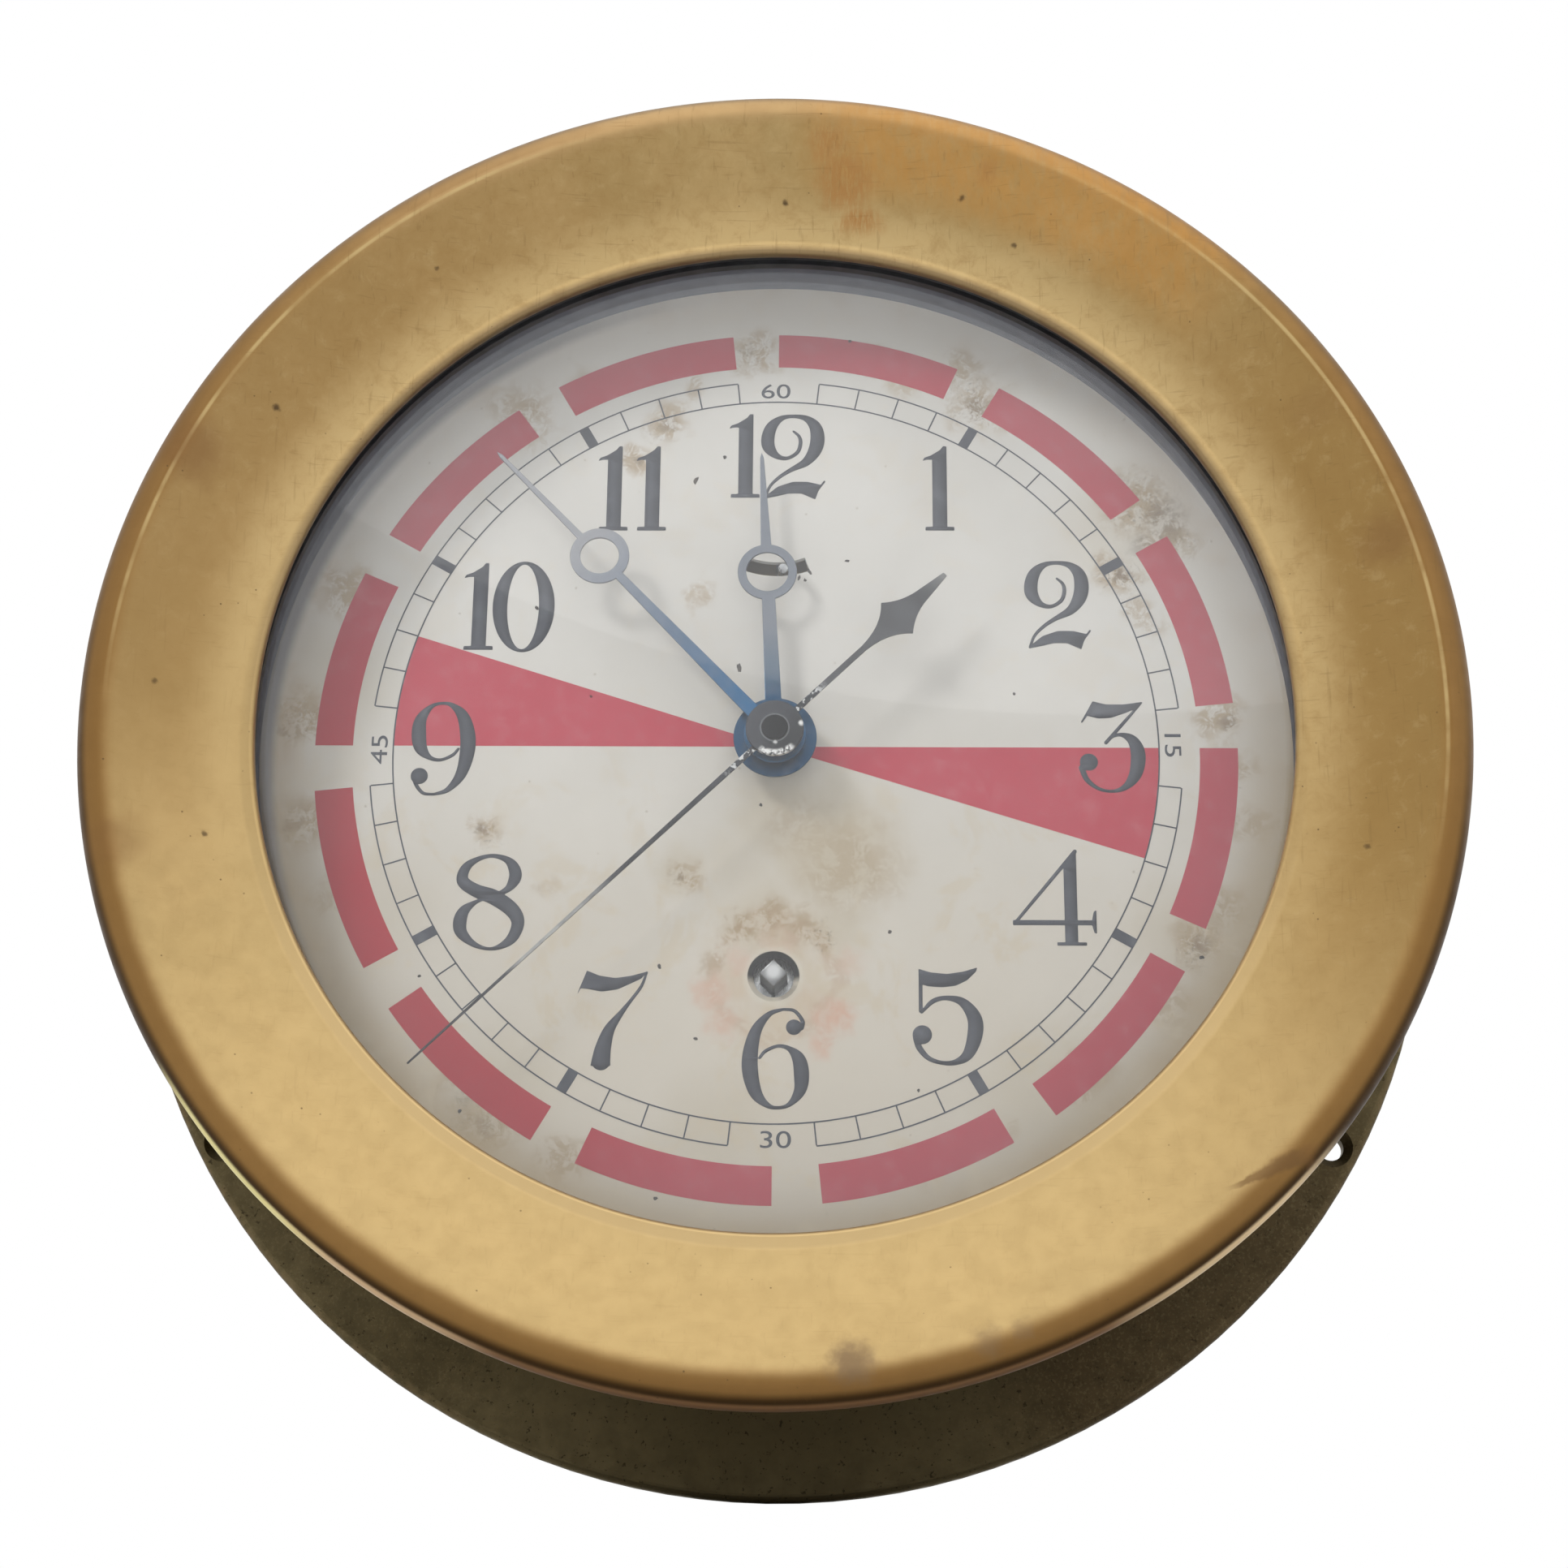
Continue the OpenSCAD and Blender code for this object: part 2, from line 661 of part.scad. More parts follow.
// A flat hand with a ring: hub, tapered stem, ring and point
module ringed_hand(angle, z0, hub_r, bore_r, ring_at, ring_r, ring_in_r, len, root_w, neck_w, point_w) {
    rotate(-angle) difference() {
        union() {
            rod(hub_r, z0, z0 + hand_t);
            at([0, ring_at]) rod(ring_r, z0, z0 + hand_t);
            translate([0, 0, z0]) linear_extrude(hand_t) polygon([
                [-root_w / 2, 0], [root_w / 2, 0], [neck_w / 2, ring_at - ring_in_r - 0.3],
                [-neck_w / 2, ring_at - ring_in_r - 0.3]]);
            translate([0, 0, z0]) linear_extrude(hand_t) polygon([
                [-point_w / 2, ring_at + ring_in_r + 0.3], [point_w / 2, ring_at + ring_in_r + 0.3],
                [0.3, len - 1], [0, len], [-0.3, len - 1]]);
        }
        rod(bore_r, z0 - 1, z0 + hand_t + 1);
        at([0, ring_at]) rod(ring_in_r, z0 - 1, z0 + hand_t + 1);
    }
}

module hour_hand() {
    color([0.28, 0.42, 0.62]) upright() ringed_hand(hour_angle, hour_hand_z, hour_hub_r,
        hour_pipe_r + fit_gap, hour_ring_at, hour_ring_r, hour_ring_in_r, hour_hand_len,
        hour_root_w, hour_neck_w, hour_point_w);
}

module minute_hand() {
    color([0.28, 0.42, 0.62]) upright() ringed_hand(minute_angle, minute_hand_z, minute_hub_r,
        cannon_pipe_r + fit_gap, minute_ring_at, minute_ring_r, minute_ring_in_r, minute_hand_len,
        minute_root_w, minute_neck_w, minute_point_w);
}

module minute_hand_washer() {
    z0 = minute_hand_z + hand_t;
    color([0.3, 0.32, 0.36]) upright() difference() {
        translate([0, 0, z0]) cylinder(r1 = cannon_pipe_r + 1.5, r2 = cannon_pipe_r + 0.8, h = 0.5);
        rod(cannon_pipe_r + fit_gap, z0 - 1, z0 + 1);
    }
}

// The counterpoise is a diamond with four hollow sides
module second_hand() {
    steps = 6;
    neck = [second_root_w / 2, poise_neck_at];
    wide = [poise_half_w, poise_wide_at];
    upper = [1.1, poise_tip_at - 5.5];
    lower_edge = [for (i = [0:steps]) let (t = i / steps)
        neck * pow(1 - t, 2) + [0.7, poise_wide_at - 2.4] * 2 * t * (1 - t) + wide * t * t];
    upper_edge = [for (i = [0:steps]) let (t = i / steps)
        wide * pow(1 - t, 2) + [1.6, poise_wide_at + 2] * 2 * t * (1 - t) + upper * t * t];
    half = concat(lower_edge, upper_edge, [[0.35, poise_tip_at]]);
    mirrored = [for (p = reversed(half)) [-p[0], p[1]]];
    color([0.2, 0.21, 0.25]) upright() rotate(-second_angle) difference() {
        union() {
            rod(second_hub_r, second_hand_z, second_hand_z + second_hand_t);
            translate([0, 0, second_hand_z]) linear_extrude(second_hand_t)
                polygon([[-second_root_w / 2, 0], [-second_tip_w / 2, second_hand_len],
                    [second_tip_w / 2, second_hand_len], [second_root_w / 2, 0]]);
            translate([0, 0, second_hand_z]) rotate(180) linear_extrude(second_hand_t)
                polygon(concat([[second_root_w / 2, 0]], half, mirrored, [[-second_root_w / 2, 0]]));
        }
        rod(collet_pipe_r + fit_gap, second_hand_z - 1, second_hand_z + 1);
    }
}

module second_hand_collet() {
    color([0.25, 0.26, 0.3]) upright() difference() {
        union() {
            rod(collet_pipe_r, second_hand_z - 0.3, collet_z + eps);
            rod(collet_disc_r, collet_z, collet_z + collet_disc_t);
            rod(collet_boss_r, collet_z, collet_top_z);
        }
        rod(seconds_arbor_r + fit_gap, second_hand_z - 1, collet_top_z - 0.2);
    }
}

module bush_hole(r) {
    rod(r + pivot_clear + bush_wall + fit_gap, back_plate_z - 1, front_face_z + 1);
}

module plate_blank(z0) {
    difference() {
        rod(plate_r, z0, z0 + plate_t);
        for (p = pivot_places) {
            at(p) bush_hole(train_pivot_r);
        }
        for (a = pillar_angles) {
            at(clock(pillar_at, a)) rod(pillar_screw_r + fit_gap, z0 - 1, z0 + plate_t + 1);
        }
    }
}

module front_plate() {
    color([0.8, 0.68, 0.4]) upright() difference() {
        plate_blank(front_plate_z);
        bush_hole(centre_arbor_r);
        at(barrel_at) bush_hole(arbor_r);
        at(balance_at) rod(balance_bush_r + fit_gap, front_plate_z - 1, front_face_z + 1);
        regulator_slot(hairspring_r, 2, front_plate_z - 1, front_face_z + 1);
        at(minute_at) rod(stud_r + fit_gap, front_plate_z - 1, front_face_z + 1);
        at(click_at) rod(click_pivot_r + fit_gap, front_plate_z - 1, front_face_z + 1);
        at(click_at + click_spring_foot)
            rod(click_spring_pin_r + fit_gap, front_plate_z - 1, front_face_z + 1);
        at(hairspring_stud_at)
            rod(hairspring_stud_r + fit_gap, front_plate_z - 1, front_face_z + 1);
    }
}

module back_plate() {
    color([0.8, 0.68, 0.4]) upright() difference() {
        plate_blank(back_plate_z);
        bush_hole(train_pivot_r);
        at(barrel_at) bush_hole(arbor_r);
        at(balance_at) bush_hole(train_pivot_r);
        for (a = post_angles) {
            at(clock(post_at, a)) rod(post_tenon_r + fit_gap, back_plate_z - 1, inside_z + 1);
        }
    }
}

module pillars() {
    color([0.82, 0.7, 0.42]) upright() for (a = pillar_angles) {
        at(clock(pillar_at, a)) difference() {
            union() {
                rod(pillar_r - 0.5, inside_z, front_plate_z);
                rod(pillar_r, inside_z, inside_z + 2);
                rod(pillar_r, front_plate_z - 2, front_plate_z);
            }
            rod(pillar_screw_r + fit_gap, inside_z - 1, inside_z + 6);
            rod(pillar_screw_r + fit_gap, front_plate_z - 6, front_plate_z + 1);
        }
    }
}

module pillar_screws() {
    head_t = 1.2;
    color([0.45, 0.5, 0.62]) upright() for (a = pillar_angles) {
        at(clock(pillar_at, a)) {
            rod(pillar_screw_r, front_plate_z - 5.5, front_face_z + eps);
            difference() {
                rod(pillar_head_r, front_face_z, front_face_z + head_t);
                translate([-4, -0.25, front_face_z + head_t - 0.6]) cube([8, 0.5, 1]);
            }
            rod(pillar_screw_r, back_plate_z - eps, inside_z + 5.5);
            difference() {
                rod(pillar_head_r, back_plate_z - head_t, back_plate_z);
                translate([-4, -0.25, back_plate_z - head_t - 0.4]) cube([8, 0.5, 1]);
            }
        }
    }
}

module movement_posts() {
    color([0.7, 0.6, 0.38]) upright() for (a = post_angles) {
        at(clock(post_at, a)) difference() {
            union() {
                rod(post_r, back_wall, back_plate_z);
                rod(post_tenon_r, back_plate_z - eps, inside_z + 0.2);
            }
            rod(movement_screw_r + fit_gap, back_wall - 1, back_wall + movement_screw_reach + 0.5);
        }
    }
}

module movement_screws() {
    color([0.5, 0.5, 0.48]) upright() for (a = post_angles) {
        at(clock(post_at, a)) difference() {
            union() {
                translate([0, 0, 0.1]) cylinder(r1 = movement_screw_r * 2 - 0.2, r2 = movement_screw_r,
                    h = movement_screw_r);
                rod(movement_screw_r, 0.1, back_wall + movement_screw_reach);
            }
            translate([-3 * movement_screw_r, -movement_screw_slot / 2, -1])
                cube([6 * movement_screw_r, movement_screw_slot, 1.1 + movement_screw_slot]);
        }
    }
}

module bush(r, z0) {
    ring(r + pivot_clear + bush_wall, r + pivot_clear, z0, z0 + plate_t);
}

module front_bushes() {
    color([0.86, 0.74, 0.4]) upright() {
        bush(centre_arbor_r, front_plate_z);
        at(barrel_at) bush(arbor_r, front_plate_z);
        for (p = pivot_places) {
            at(p) bush(train_pivot_r, front_plate_z);
        }
    }
}

module back_bushes() {
    color([0.86, 0.74, 0.4]) upright() {
        bush(train_pivot_r, back_plate_z);
        at(barrel_at) bush(arbor_r, back_plate_z);
        at(balance_at) bush(train_pivot_r, back_plate_z);
        for (p = pivot_places) {
            at(p) bush(train_pivot_r, back_plate_z);
        }
    }
}

module barrel() {
    color([0.83, 0.7, 0.4]) upright() at(barrel_at) difference() {
        union() {
            rod(barrel_r, barrel_z, barrel_top_z);
            translate([0, 0, barrel_top_z - barrel_tooth_h]) linear_extrude(barrel_tooth_h)
                polygon(wheel_outline(barrel_teeth, barrel_module, bearing(barrel_at, intermediate_at)));
        }
        rod(barrel_r - barrel_wall, barrel_z + barrel_wall, barrel_top_z + 1);
        rod(arbor_r + pivot_clear, barrel_z - 1, barrel_top_z);
    }
}

module barrel_cap() {
    color([0.86, 0.73, 0.44]) upright() at(barrel_at)
        ring(barrel_r - barrel_wall - fit_gap, arbor_r + pivot_clear,
            barrel_top_z - barrel_wall, barrel_top_z);
}

module barrel_arbor() {
    color([0.62, 0.63, 0.64]) upright() at(barrel_at) {
        rod(core_r, barrel_z + barrel_wall + end_gap, barrel_top_z - barrel_wall - end_gap);
        rod(arbor_r, back_plate_z + 0.3, front_face_z + 0.2);
        rotate(square_turn) translate([-square_w / 2, -square_w / 2, front_face_z])
            cube([square_w, square_w, square_top_z - front_face_z]);
    }
}

module mainspring() {
    inner = core_r + 0.5;
    outer = barrel_r - barrel_wall - mainspring_t / 2 - 0.1;
    color([0.3, 0.32, 0.36]) upright() at(barrel_at, barrel_z + barrel_wall + 0.3)
        linear_extrude(barrel_h - 2 * barrel_wall - 0.6)
            polygon(spiral(inner, outer, mainspring_turns, mainspring_t));
}

module ratchet_wheel() {
    tooth = 360 / ratchet_teeth;
    outline = [for (i = [0:ratchet_teeth - 1]) for (q = [[ratchet_r - 0.9, 0.08], [ratchet_r, 0.95]])
        q[0] * [cos((i + q[1]) * tooth), sin((i + q[1]) * tooth)]];
    half_hole = square_w / 2 + fit_gap;
    color([0.55, 0.56, 0.58]) upright() at(barrel_at, ratchet_z) difference() {
        linear_extrude(ratchet_t) polygon(outline);
        rotate(square_turn) translate([-half_hole, -half_hole, -1])
            cube([2 * half_hole, 2 * half_hole, ratchet_t + 2]);
    }
}

// The click lies along the ratchet wheel's edge, its nose just clear of the teeth
module click() {
    color([0.5, 0.51, 0.54]) upright() at(click_at, ratchet_z) difference() {
        union() {
            cylinder(r = click_hub_r, h = ratchet_t);
            linear_extrude(ratchet_t) polygon([[-1.6, 0], [-click_nose, 3 - click_reach],
                [-click_nose, -click_reach], [0.2, -click_reach], [0.9, 3 - click_reach], [2, -1.2]]);
        }
        rod(click_pivot_r + pivot_clear, -1, ratchet_t + 1);
    }
}

module click_screw() {
    color([0.35, 0.42, 0.6]) upright() at(click_at) difference() {
        union() {
            rod(click_pivot_r, front_plate_z + 0.2, ratchet_z + ratchet_t + 0.1);
            rod(click_hub_r - 0.2, ratchet_z + ratchet_t + end_gap, ratchet_z + ratchet_t + 0.9);
        }
        translate([-4, -0.25, ratchet_z + ratchet_t + 0.5]) cube([8, 0.5, 1]);
    }
}

// A bowed strip that bears on the click, held by its own pin
module click_spring() {
    middle = click_spring_foot + [3.23, -7.32];
    color([0.4, 0.43, 0.5]) upright() at(click_at) {
        at(click_spring_foot) rod(click_spring_pin_r, front_plate_z + 0.2, ratchet_z + click_spring_h);
        at(click_spring_foot, ratchet_z) cylinder(r = 1.3, h = click_spring_h);
        translate([0, 0, ratchet_z]) linear_extrude(click_spring_h) polygon(concat(
            arc(middle, 8.25, 114, 161, 12), arc(middle, 7.75, 161, 114, 12)));
    }
}

module intermediate_wheel() {
    color([0.84, 0.7, 0.4]) upright() at(intermediate_at) crossed_wheel(intermediate_teeth,
        intermediate_module, bearing(intermediate_at, centre_at), intermediate_arbor_r + fit_gap,
        intermediate_wheel_z, wheel_t);
}

module intermediate_pinion() {
    color([0.6, 0.61, 0.63]) upright() at(intermediate_at) {
        arbor(intermediate_arbor_r);
        leaves(intermediate_leaves, barrel_module,
            mesh_angle(barrel_at, intermediate_at, intermediate_leaves),
            barrel_top_z - barrel_tooth_h - 0.4, barrel_tooth_h + 0.8);
    }
}

module centre_wheel() {
    color([0.84, 0.7, 0.4]) upright() crossed_wheel(centre_teeth, centre_module,
        bearing(centre_at, third_at), centre_arbor_r + fit_gap, centre_wheel_z, wheel_t);
}

module centre_pinion() {
    color([0.6, 0.61, 0.63]) upright() difference() {
        union() {
            rod(centre_arbor_r, centre_arbor_z, front_face_z + 0.2);
            rod(centre_front_r, front_face_z, minute_hand_z + hand_t + 0.3);
            leaves(centre_leaves, intermediate_module,
                mesh_angle(intermediate_at, centre_at, centre_leaves),
                intermediate_wheel_z - 0.6, wheel_t + 1.2);
        }
        rod(seconds_bore_r, centre_arbor_z - 1, second_hand_z);
    }
}

module cannon_pinion() {
    top_z = minute_hand_z + hand_t + 0.5;
    color([0.6, 0.61, 0.63]) upright() difference() {
        union() {
            leaves(cannon_leaves, cannon_module, 0, cannon_z, cannon_leaf_h);
            rod(cannon_pipe_r, cannon_z + cannon_leaf_h - eps, top_z);
        }
        rod(centre_front_r + fit_gap, cannon_z - 1, top_z + 1);
    }
}

// The wheel's gap faces the cannon pinion's leaf
module minute_wheel() {
    color([0.84, 0.7, 0.4]) upright() at(minute_at) crossed_wheel(minute_teeth, cannon_module,
        180 + 180 / minute_teeth, stud_r + pivot_clear, minute_wheel_z, motion_t, 4);
}

module minute_pinion() {
    color([0.6, 0.61, 0.63]) upright() at(minute_at) difference() {
        leaves(minute_leaves, hour_module, 180, minute_pinion_z, minute_pinion_h);
        rod(stud_r + pivot_clear, minute_pinion_z - 1, minute_pinion_z + minute_pinion_h + 1);
    }
}

module minute_stud() {
    top_z = minute_pinion_z + minute_pinion_h;
    color([0.5, 0.51, 0.54]) upright() at(minute_at) {
        rod(stud_r, front_plate_z + 0.2, top_z + end_gap + eps);
        rod(stud_r + 0.6, top_z + end_gap, dial_back_z - 0.2);
        ring(stud_r + 0.8, stud_r - 0.1, front_face_z, minute_wheel_z - end_gap);
    }
}

module hour_wheel() {
    color([0.84, 0.7, 0.4]) upright() difference() {
        union() {
            translate([0, 0, hour_wheel_z]) linear_extrude(motion_t)
                polygon(wheel_outline(hour_teeth, hour_module, 180 / hour_teeth));
            rod(hour_pipe_r, hour_wheel_z, hour_hand_z + hand_t);
        }
        rod(hour_pipe_in_r, hour_wheel_z - 1, hour_hand_z + hand_t + 1);
    }
}

module third_wheel() {
    color([0.84, 0.7, 0.4]) upright() at(third_at) crossed_wheel(third_teeth, third_module,
        bearing(third_at, centre_at), train_arbor_r + fit_gap, third_wheel_z, wheel_t);
}

module third_pinion() {
    color([0.6, 0.61, 0.63]) upright() at(third_at) {
        arbor(train_arbor_r);
        leaves(third_leaves, centre_module, mesh_angle(centre_at, third_at, third_leaves),
            centre_wheel_z - 0.6, wheel_t + 1.2);
    }
}

module fourth_wheel() {
    color([0.84, 0.7, 0.4]) upright() crossed_wheel(fourth_teeth, fourth_module,
        bearing(centre_at, escape_at), seconds_arbor_r + fit_gap, fourth_wheel_z, wheel_t);
}

module seconds_arbor() {
    color([0.6, 0.61, 0.63]) upright() {
        rod(seconds_arbor_r, inside_z + 0.4, collet_top_z - 0.3);
        rod(train_pivot_r, back_plate_z + 0.3, inside_z + 1);
        leaves(fourth_leaves, third_module, mesh_angle(third_at, centre_at, fourth_leaves),
            third_wheel_z - 0.6, wheel_t + 1.2);
    }
}

// Pointed, leaning teeth
module escape_wheel() {
    pitch = 360 / escape_teeth;
    outline = [for (i = [0:escape_teeth - 1])
        for (q = [[escape_r - 2.2, 0.1], [escape_r, 0.42], [escape_r, 0.47], [escape_r - 2.2, 0.38]])
            q[0] * [cos((i + q[1]) * pitch), sin((i + q[1]) * pitch)]];
    color([0.85, 0.72, 0.42]) upright() at(escape_at) difference() {
        translate([0, 0, escape_wheel_z]) linear_extrude(1) polygon(outline);
        rod(escape_arbor_r + fit_gap, escape_wheel_z - 1, escape_wheel_z + 2);
        around(4, 3.1) rod(1.1, escape_wheel_z - 1, escape_wheel_z + 2, $fn = 32);
    }
}

module escape_pinion() {
    color([0.6, 0.61, 0.63]) upright() at(escape_at) {
        arbor(escape_arbor_r);
        leaves(escape_leaves, fourth_module, mesh_angle(centre_at, escape_at, escape_leaves),
            fourth_wheel_z - 0.6, wheel_t + 1.2);
    }
}

// The fork ends just outside the circle that the impulse pin runs on
module pallet_lever() {
    z0 = escape_wheel_z;
    fork_end = balance_rise - pallet_at[1] - impulse_at - impulse_pin_r - escape_gap;
    color([0.62, 0.63, 0.66]) upright() difference() {
        at(pallet_at, z0) linear_extrude(1) polygon([
            [-0.85, -0.85], [0.85, -0.85], [3, -0.9], [5.2, -1], [5.5, 0.4], [1.6, 1.3],
            [0.6, 2.4], [0.5, fork_end - 3], [1.5, fork_end], [0.5, fork_end],
            [0.5, fork_end - 1.2], [-0.5, fork_end - 1.2], [-0.5, fork_end], [-1.5, fork_end],
            [-0.5, fork_end - 3], [-0.6, 2.4], [-1.6, 1.3], [-5.5, 0.4], [-5.2, -1], [-3, -0.9]]);
        at(pallet_at) rod(pallet_arbor_r + fit_gap, z0 - 1, z0 + 2);
        for (side = [-1, 1]) {
            at(escape_at) rotate(-side * stone_half_span)
                translate([-stone_w / 2 - fit_gap, stone_end - 1, z0 - 1])
                    cube([stone_w + 2 * fit_gap, 1 + stone_len + fit_gap, 3]);
        }
    }
}

module pallet_arbor() {
    color([0.6, 0.61, 0.63]) upright() at(pallet_at) {
        rod(pallet_arbor_r, back_plate_z + 0.3, front_face_z - 0.1);
        rod(train_arbor_r, escape_wheel_z + 1.2, front_plate_z - 0.4);
    }
}

module pallet_stones() {
    color([0.6, 0.1, 0.18]) upright() for (side = [-1, 1]) {
        at(escape_at) rotate(-side * stone_half_span)
            translate([-stone_w / 2, stone_end, escape_wheel_z - 0.1])
                cube([stone_w, stone_len, 1.2]);
    }
}

module balance_wheel() {
    color([0.85, 0.72, 0.42]) upright() at(balance_at) {
        ring(balance_r, balance_r - balance_rim_w, balance_z, balance_z + balance_t);
        difference() {
            union() {
                translate([-balance_r + 0.5, -0.9, balance_z + 0.1])
                    cube([2 * balance_r - 1, 1.8, balance_t - 0.2]);
                rod(2.2, balance_z + 0.1, balance_z + balance_t - 0.1);
            }
            rod(train_arbor_r + fit_gap, balance_z - 1, balance_z + balance_t + 1);
        }
    }
}

module timing_screws() {
    color([0.8, 0.66, 0.36]) upright() at(balance_at) for (i = [0:timing_screw_count - 1]) {
        rotate((i + 0.5) * 360 / timing_screw_count)
            translate([balance_r + 0.05, 0, balance_z + balance_t / 2]) rotate([0, 90, 0])
                cylinder(r = 0.5, h = 0.8, $fn = 32);
    }
}

module balance_staff() {
    color([0.62, 0.63, 0.66]) upright() at(balance_at) {
        rod(train_arbor_r, inside_z + 0.4, front_plate_z - 0.4);
        rod(staff_collet_r, hairspring_z - 0.2, hairspring_z + hairspring_h + 0.2);
        rod(train_pivot_r, back_plate_z + 0.3, front_face_z);
    }
}

module impulse_roller() {
    color([0.62, 0.63, 0.66]) upright() at(balance_at) difference() {
        union() {
            rod(impulse_at + 0.9, roller_z, roller_z + 0.8);
            at([0, -impulse_at]) rod(impulse_pin_r, escape_wheel_z - 0.1, roller_z + eps, $fn = 32);
        }
        rod(train_arbor_r + fit_gap, roller_z - 1, roller_z + 2);
    }
}

// Centre line of the hairspring at an offset: flat coils, then a true circle
// on which the regulator's pins slide
function hairspring_line(off) =
    let (n = hairspring_turns * 28, r0 = staff_collet_r + 0.35)
    concat(
        [for (i = [0:n - 1]) let (a = 360 * hairspring_turns * i / n)
            (r0 + (hairspring_r - r0) * i / n + off) * [cos(a), sin(a)]],
        arc([0, 0], hairspring_r + off, 0, hairspring_arc, 24));

module hairspring() {
    color([0.4, 0.48, 0.66]) upright() at(balance_at, hairspring_z) rotate(90 - hairspring_arc)
        linear_extrude(hairspring_h) polygon(concat(hairspring_line(hairspring_t / 2),
            reversed(hairspring_line(-hairspring_t / 2))));
}

module hairspring_stud() {
    color([0.55, 0.56, 0.6]) upright() at(hairspring_stud_at)
        rod(hairspring_stud_r, hairspring_z - 0.2, front_face_z);
}

module regulator_index() {
    color([0.7, 0.71, 0.72]) upright() at(balance_at) rotate(regulator_angle) {
        difference() {
            union() {
                rod(regulator_hub_r, index_z, index_z + index_t);
                translate([-0.9, -regulator_reach, index_z]) cube([1.8, regulator_reach, index_t]);
                at([0, -regulator_reach]) rod(1.3, index_z, index_z + index_t);
                at([0, -hairspring_r]) rod(1.1, index_z, index_z + index_t);
            }
            rod(balance_bush_r + 0.06, index_z - 1, index_z + index_t + 1);
        }
        at([0, -regulator_reach]) rod(regulator_pin_r, index_z, dial_z + 0.3, $fn = 48);
        for (side = [-1, 1]) {
            at([0, -hairspring_r + side * (hairspring_t / 2 + curb_gap + curb_pin_r)])
                rod(curb_pin_r, hairspring_z + 0.1, index_z + eps, $fn = 24);
        }
    }
}

module balance_bush() {
    color([0.86, 0.74, 0.4]) upright() at(balance_at) difference() {
        union() {
            rod(balance_bush_r, front_plate_z, bush_head_z);
            rod(balance_bush_r + 0.6, bush_head_z - eps, bush_head_z + 0.6);
        }
        rod(train_pivot_r + pivot_clear, front_plate_z - 1, front_face_z + 0.1);
    }
}

case();
bezel_ring();
bezel_gasket();
glass();
glass_keeper_ring();
dial_surround();
dial();
dial_screws();
hour_hand();
minute_hand();
minute_hand_washer();
second_hand();
second_hand_collet();
front_plate();
back_plate();
pillars();
pillar_screws();
movement_posts();
movement_screws();
front_bushes();
back_bushes();
barrel();
barrel_cap();
barrel_arbor();
mainspring();
ratchet_wheel();
click();
click_screw();
click_spring();
intermediate_wheel();
intermediate_pinion();
centre_wheel();
centre_pinion();
cannon_pinion();
minute_wheel();
minute_pinion();
minute_stud();
hour_wheel();
third_wheel();
third_pinion();
fourth_wheel();
seconds_arbor();
escape_wheel();
escape_pinion();
pallet_lever();
pallet_arbor();
pallet_stones();
balance_wheel();
timing_screws();
balance_staff();
impulse_roller();
hairspring();
hairspring_stud();
regulator_index();
balance_bush();
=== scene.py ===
"""Looks of the marine clock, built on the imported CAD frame.

The frame is in metres: the dial faces -Y, 12 o'clock is +Z, and the origin is the
centre of the back mounting face. Most shapes here are written in millimetres in
the dial's own terms: x to the right, y to 12 o'clock, h forward from that face.
In materials the same axes are s.x, s.z and -s.y.
"""
import json
import math
import random
from contextlib import contextmanager

import bmesh
import bpy
import numpy as np
from mathutils import Matrix, Vector

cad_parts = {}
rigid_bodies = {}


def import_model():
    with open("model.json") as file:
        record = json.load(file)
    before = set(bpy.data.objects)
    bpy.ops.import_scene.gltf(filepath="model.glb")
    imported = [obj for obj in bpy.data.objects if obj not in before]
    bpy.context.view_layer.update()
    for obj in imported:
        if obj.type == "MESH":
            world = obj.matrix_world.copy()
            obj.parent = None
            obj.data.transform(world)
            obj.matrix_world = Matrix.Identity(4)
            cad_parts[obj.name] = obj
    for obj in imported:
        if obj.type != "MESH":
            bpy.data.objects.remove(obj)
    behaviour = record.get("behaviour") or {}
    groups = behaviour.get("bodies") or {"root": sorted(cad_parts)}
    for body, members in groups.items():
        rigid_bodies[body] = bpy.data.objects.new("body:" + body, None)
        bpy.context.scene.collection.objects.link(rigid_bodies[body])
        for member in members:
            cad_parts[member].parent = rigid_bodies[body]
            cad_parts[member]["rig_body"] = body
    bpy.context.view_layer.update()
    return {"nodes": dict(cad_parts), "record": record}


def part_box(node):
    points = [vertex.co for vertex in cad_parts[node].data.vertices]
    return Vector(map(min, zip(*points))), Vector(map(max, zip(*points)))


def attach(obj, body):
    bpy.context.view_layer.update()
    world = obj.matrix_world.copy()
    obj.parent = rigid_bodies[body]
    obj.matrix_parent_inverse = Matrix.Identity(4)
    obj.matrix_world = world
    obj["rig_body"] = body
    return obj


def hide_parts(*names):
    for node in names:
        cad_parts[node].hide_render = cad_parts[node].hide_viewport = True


MM = 0.001

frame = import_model()
nodes = frame["nodes"]
scene = bpy.context.scene


def height_of(node):
    """Height in mm of a node's front above the mounting face."""
    return -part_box(node)[0].y / MM


def radius_of(node):
    """Half of a round node's width, in mm."""
    low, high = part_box(node)
    return (high.x - low.x) / 2 / MM


DIAL_Z = height_of("dial")
DRUM_FRONT_Z = height_of("case")
LIP_BACK_Z = height_of("bezel_gasket") + 0.1
FLANGE_R = radius_of("case")
BEZEL_R = radius_of("bezel_ring")
BEZEL_FRONT_Z = height_of("bezel_ring")
DRUM_R = 85.0
WINDING_DROP = 35.6


def placed(name, data):
    """A new object in the scene."""
    thing = bpy.data.objects.new(name, data)
    scene.collection.objects.link(thing)
    return thing


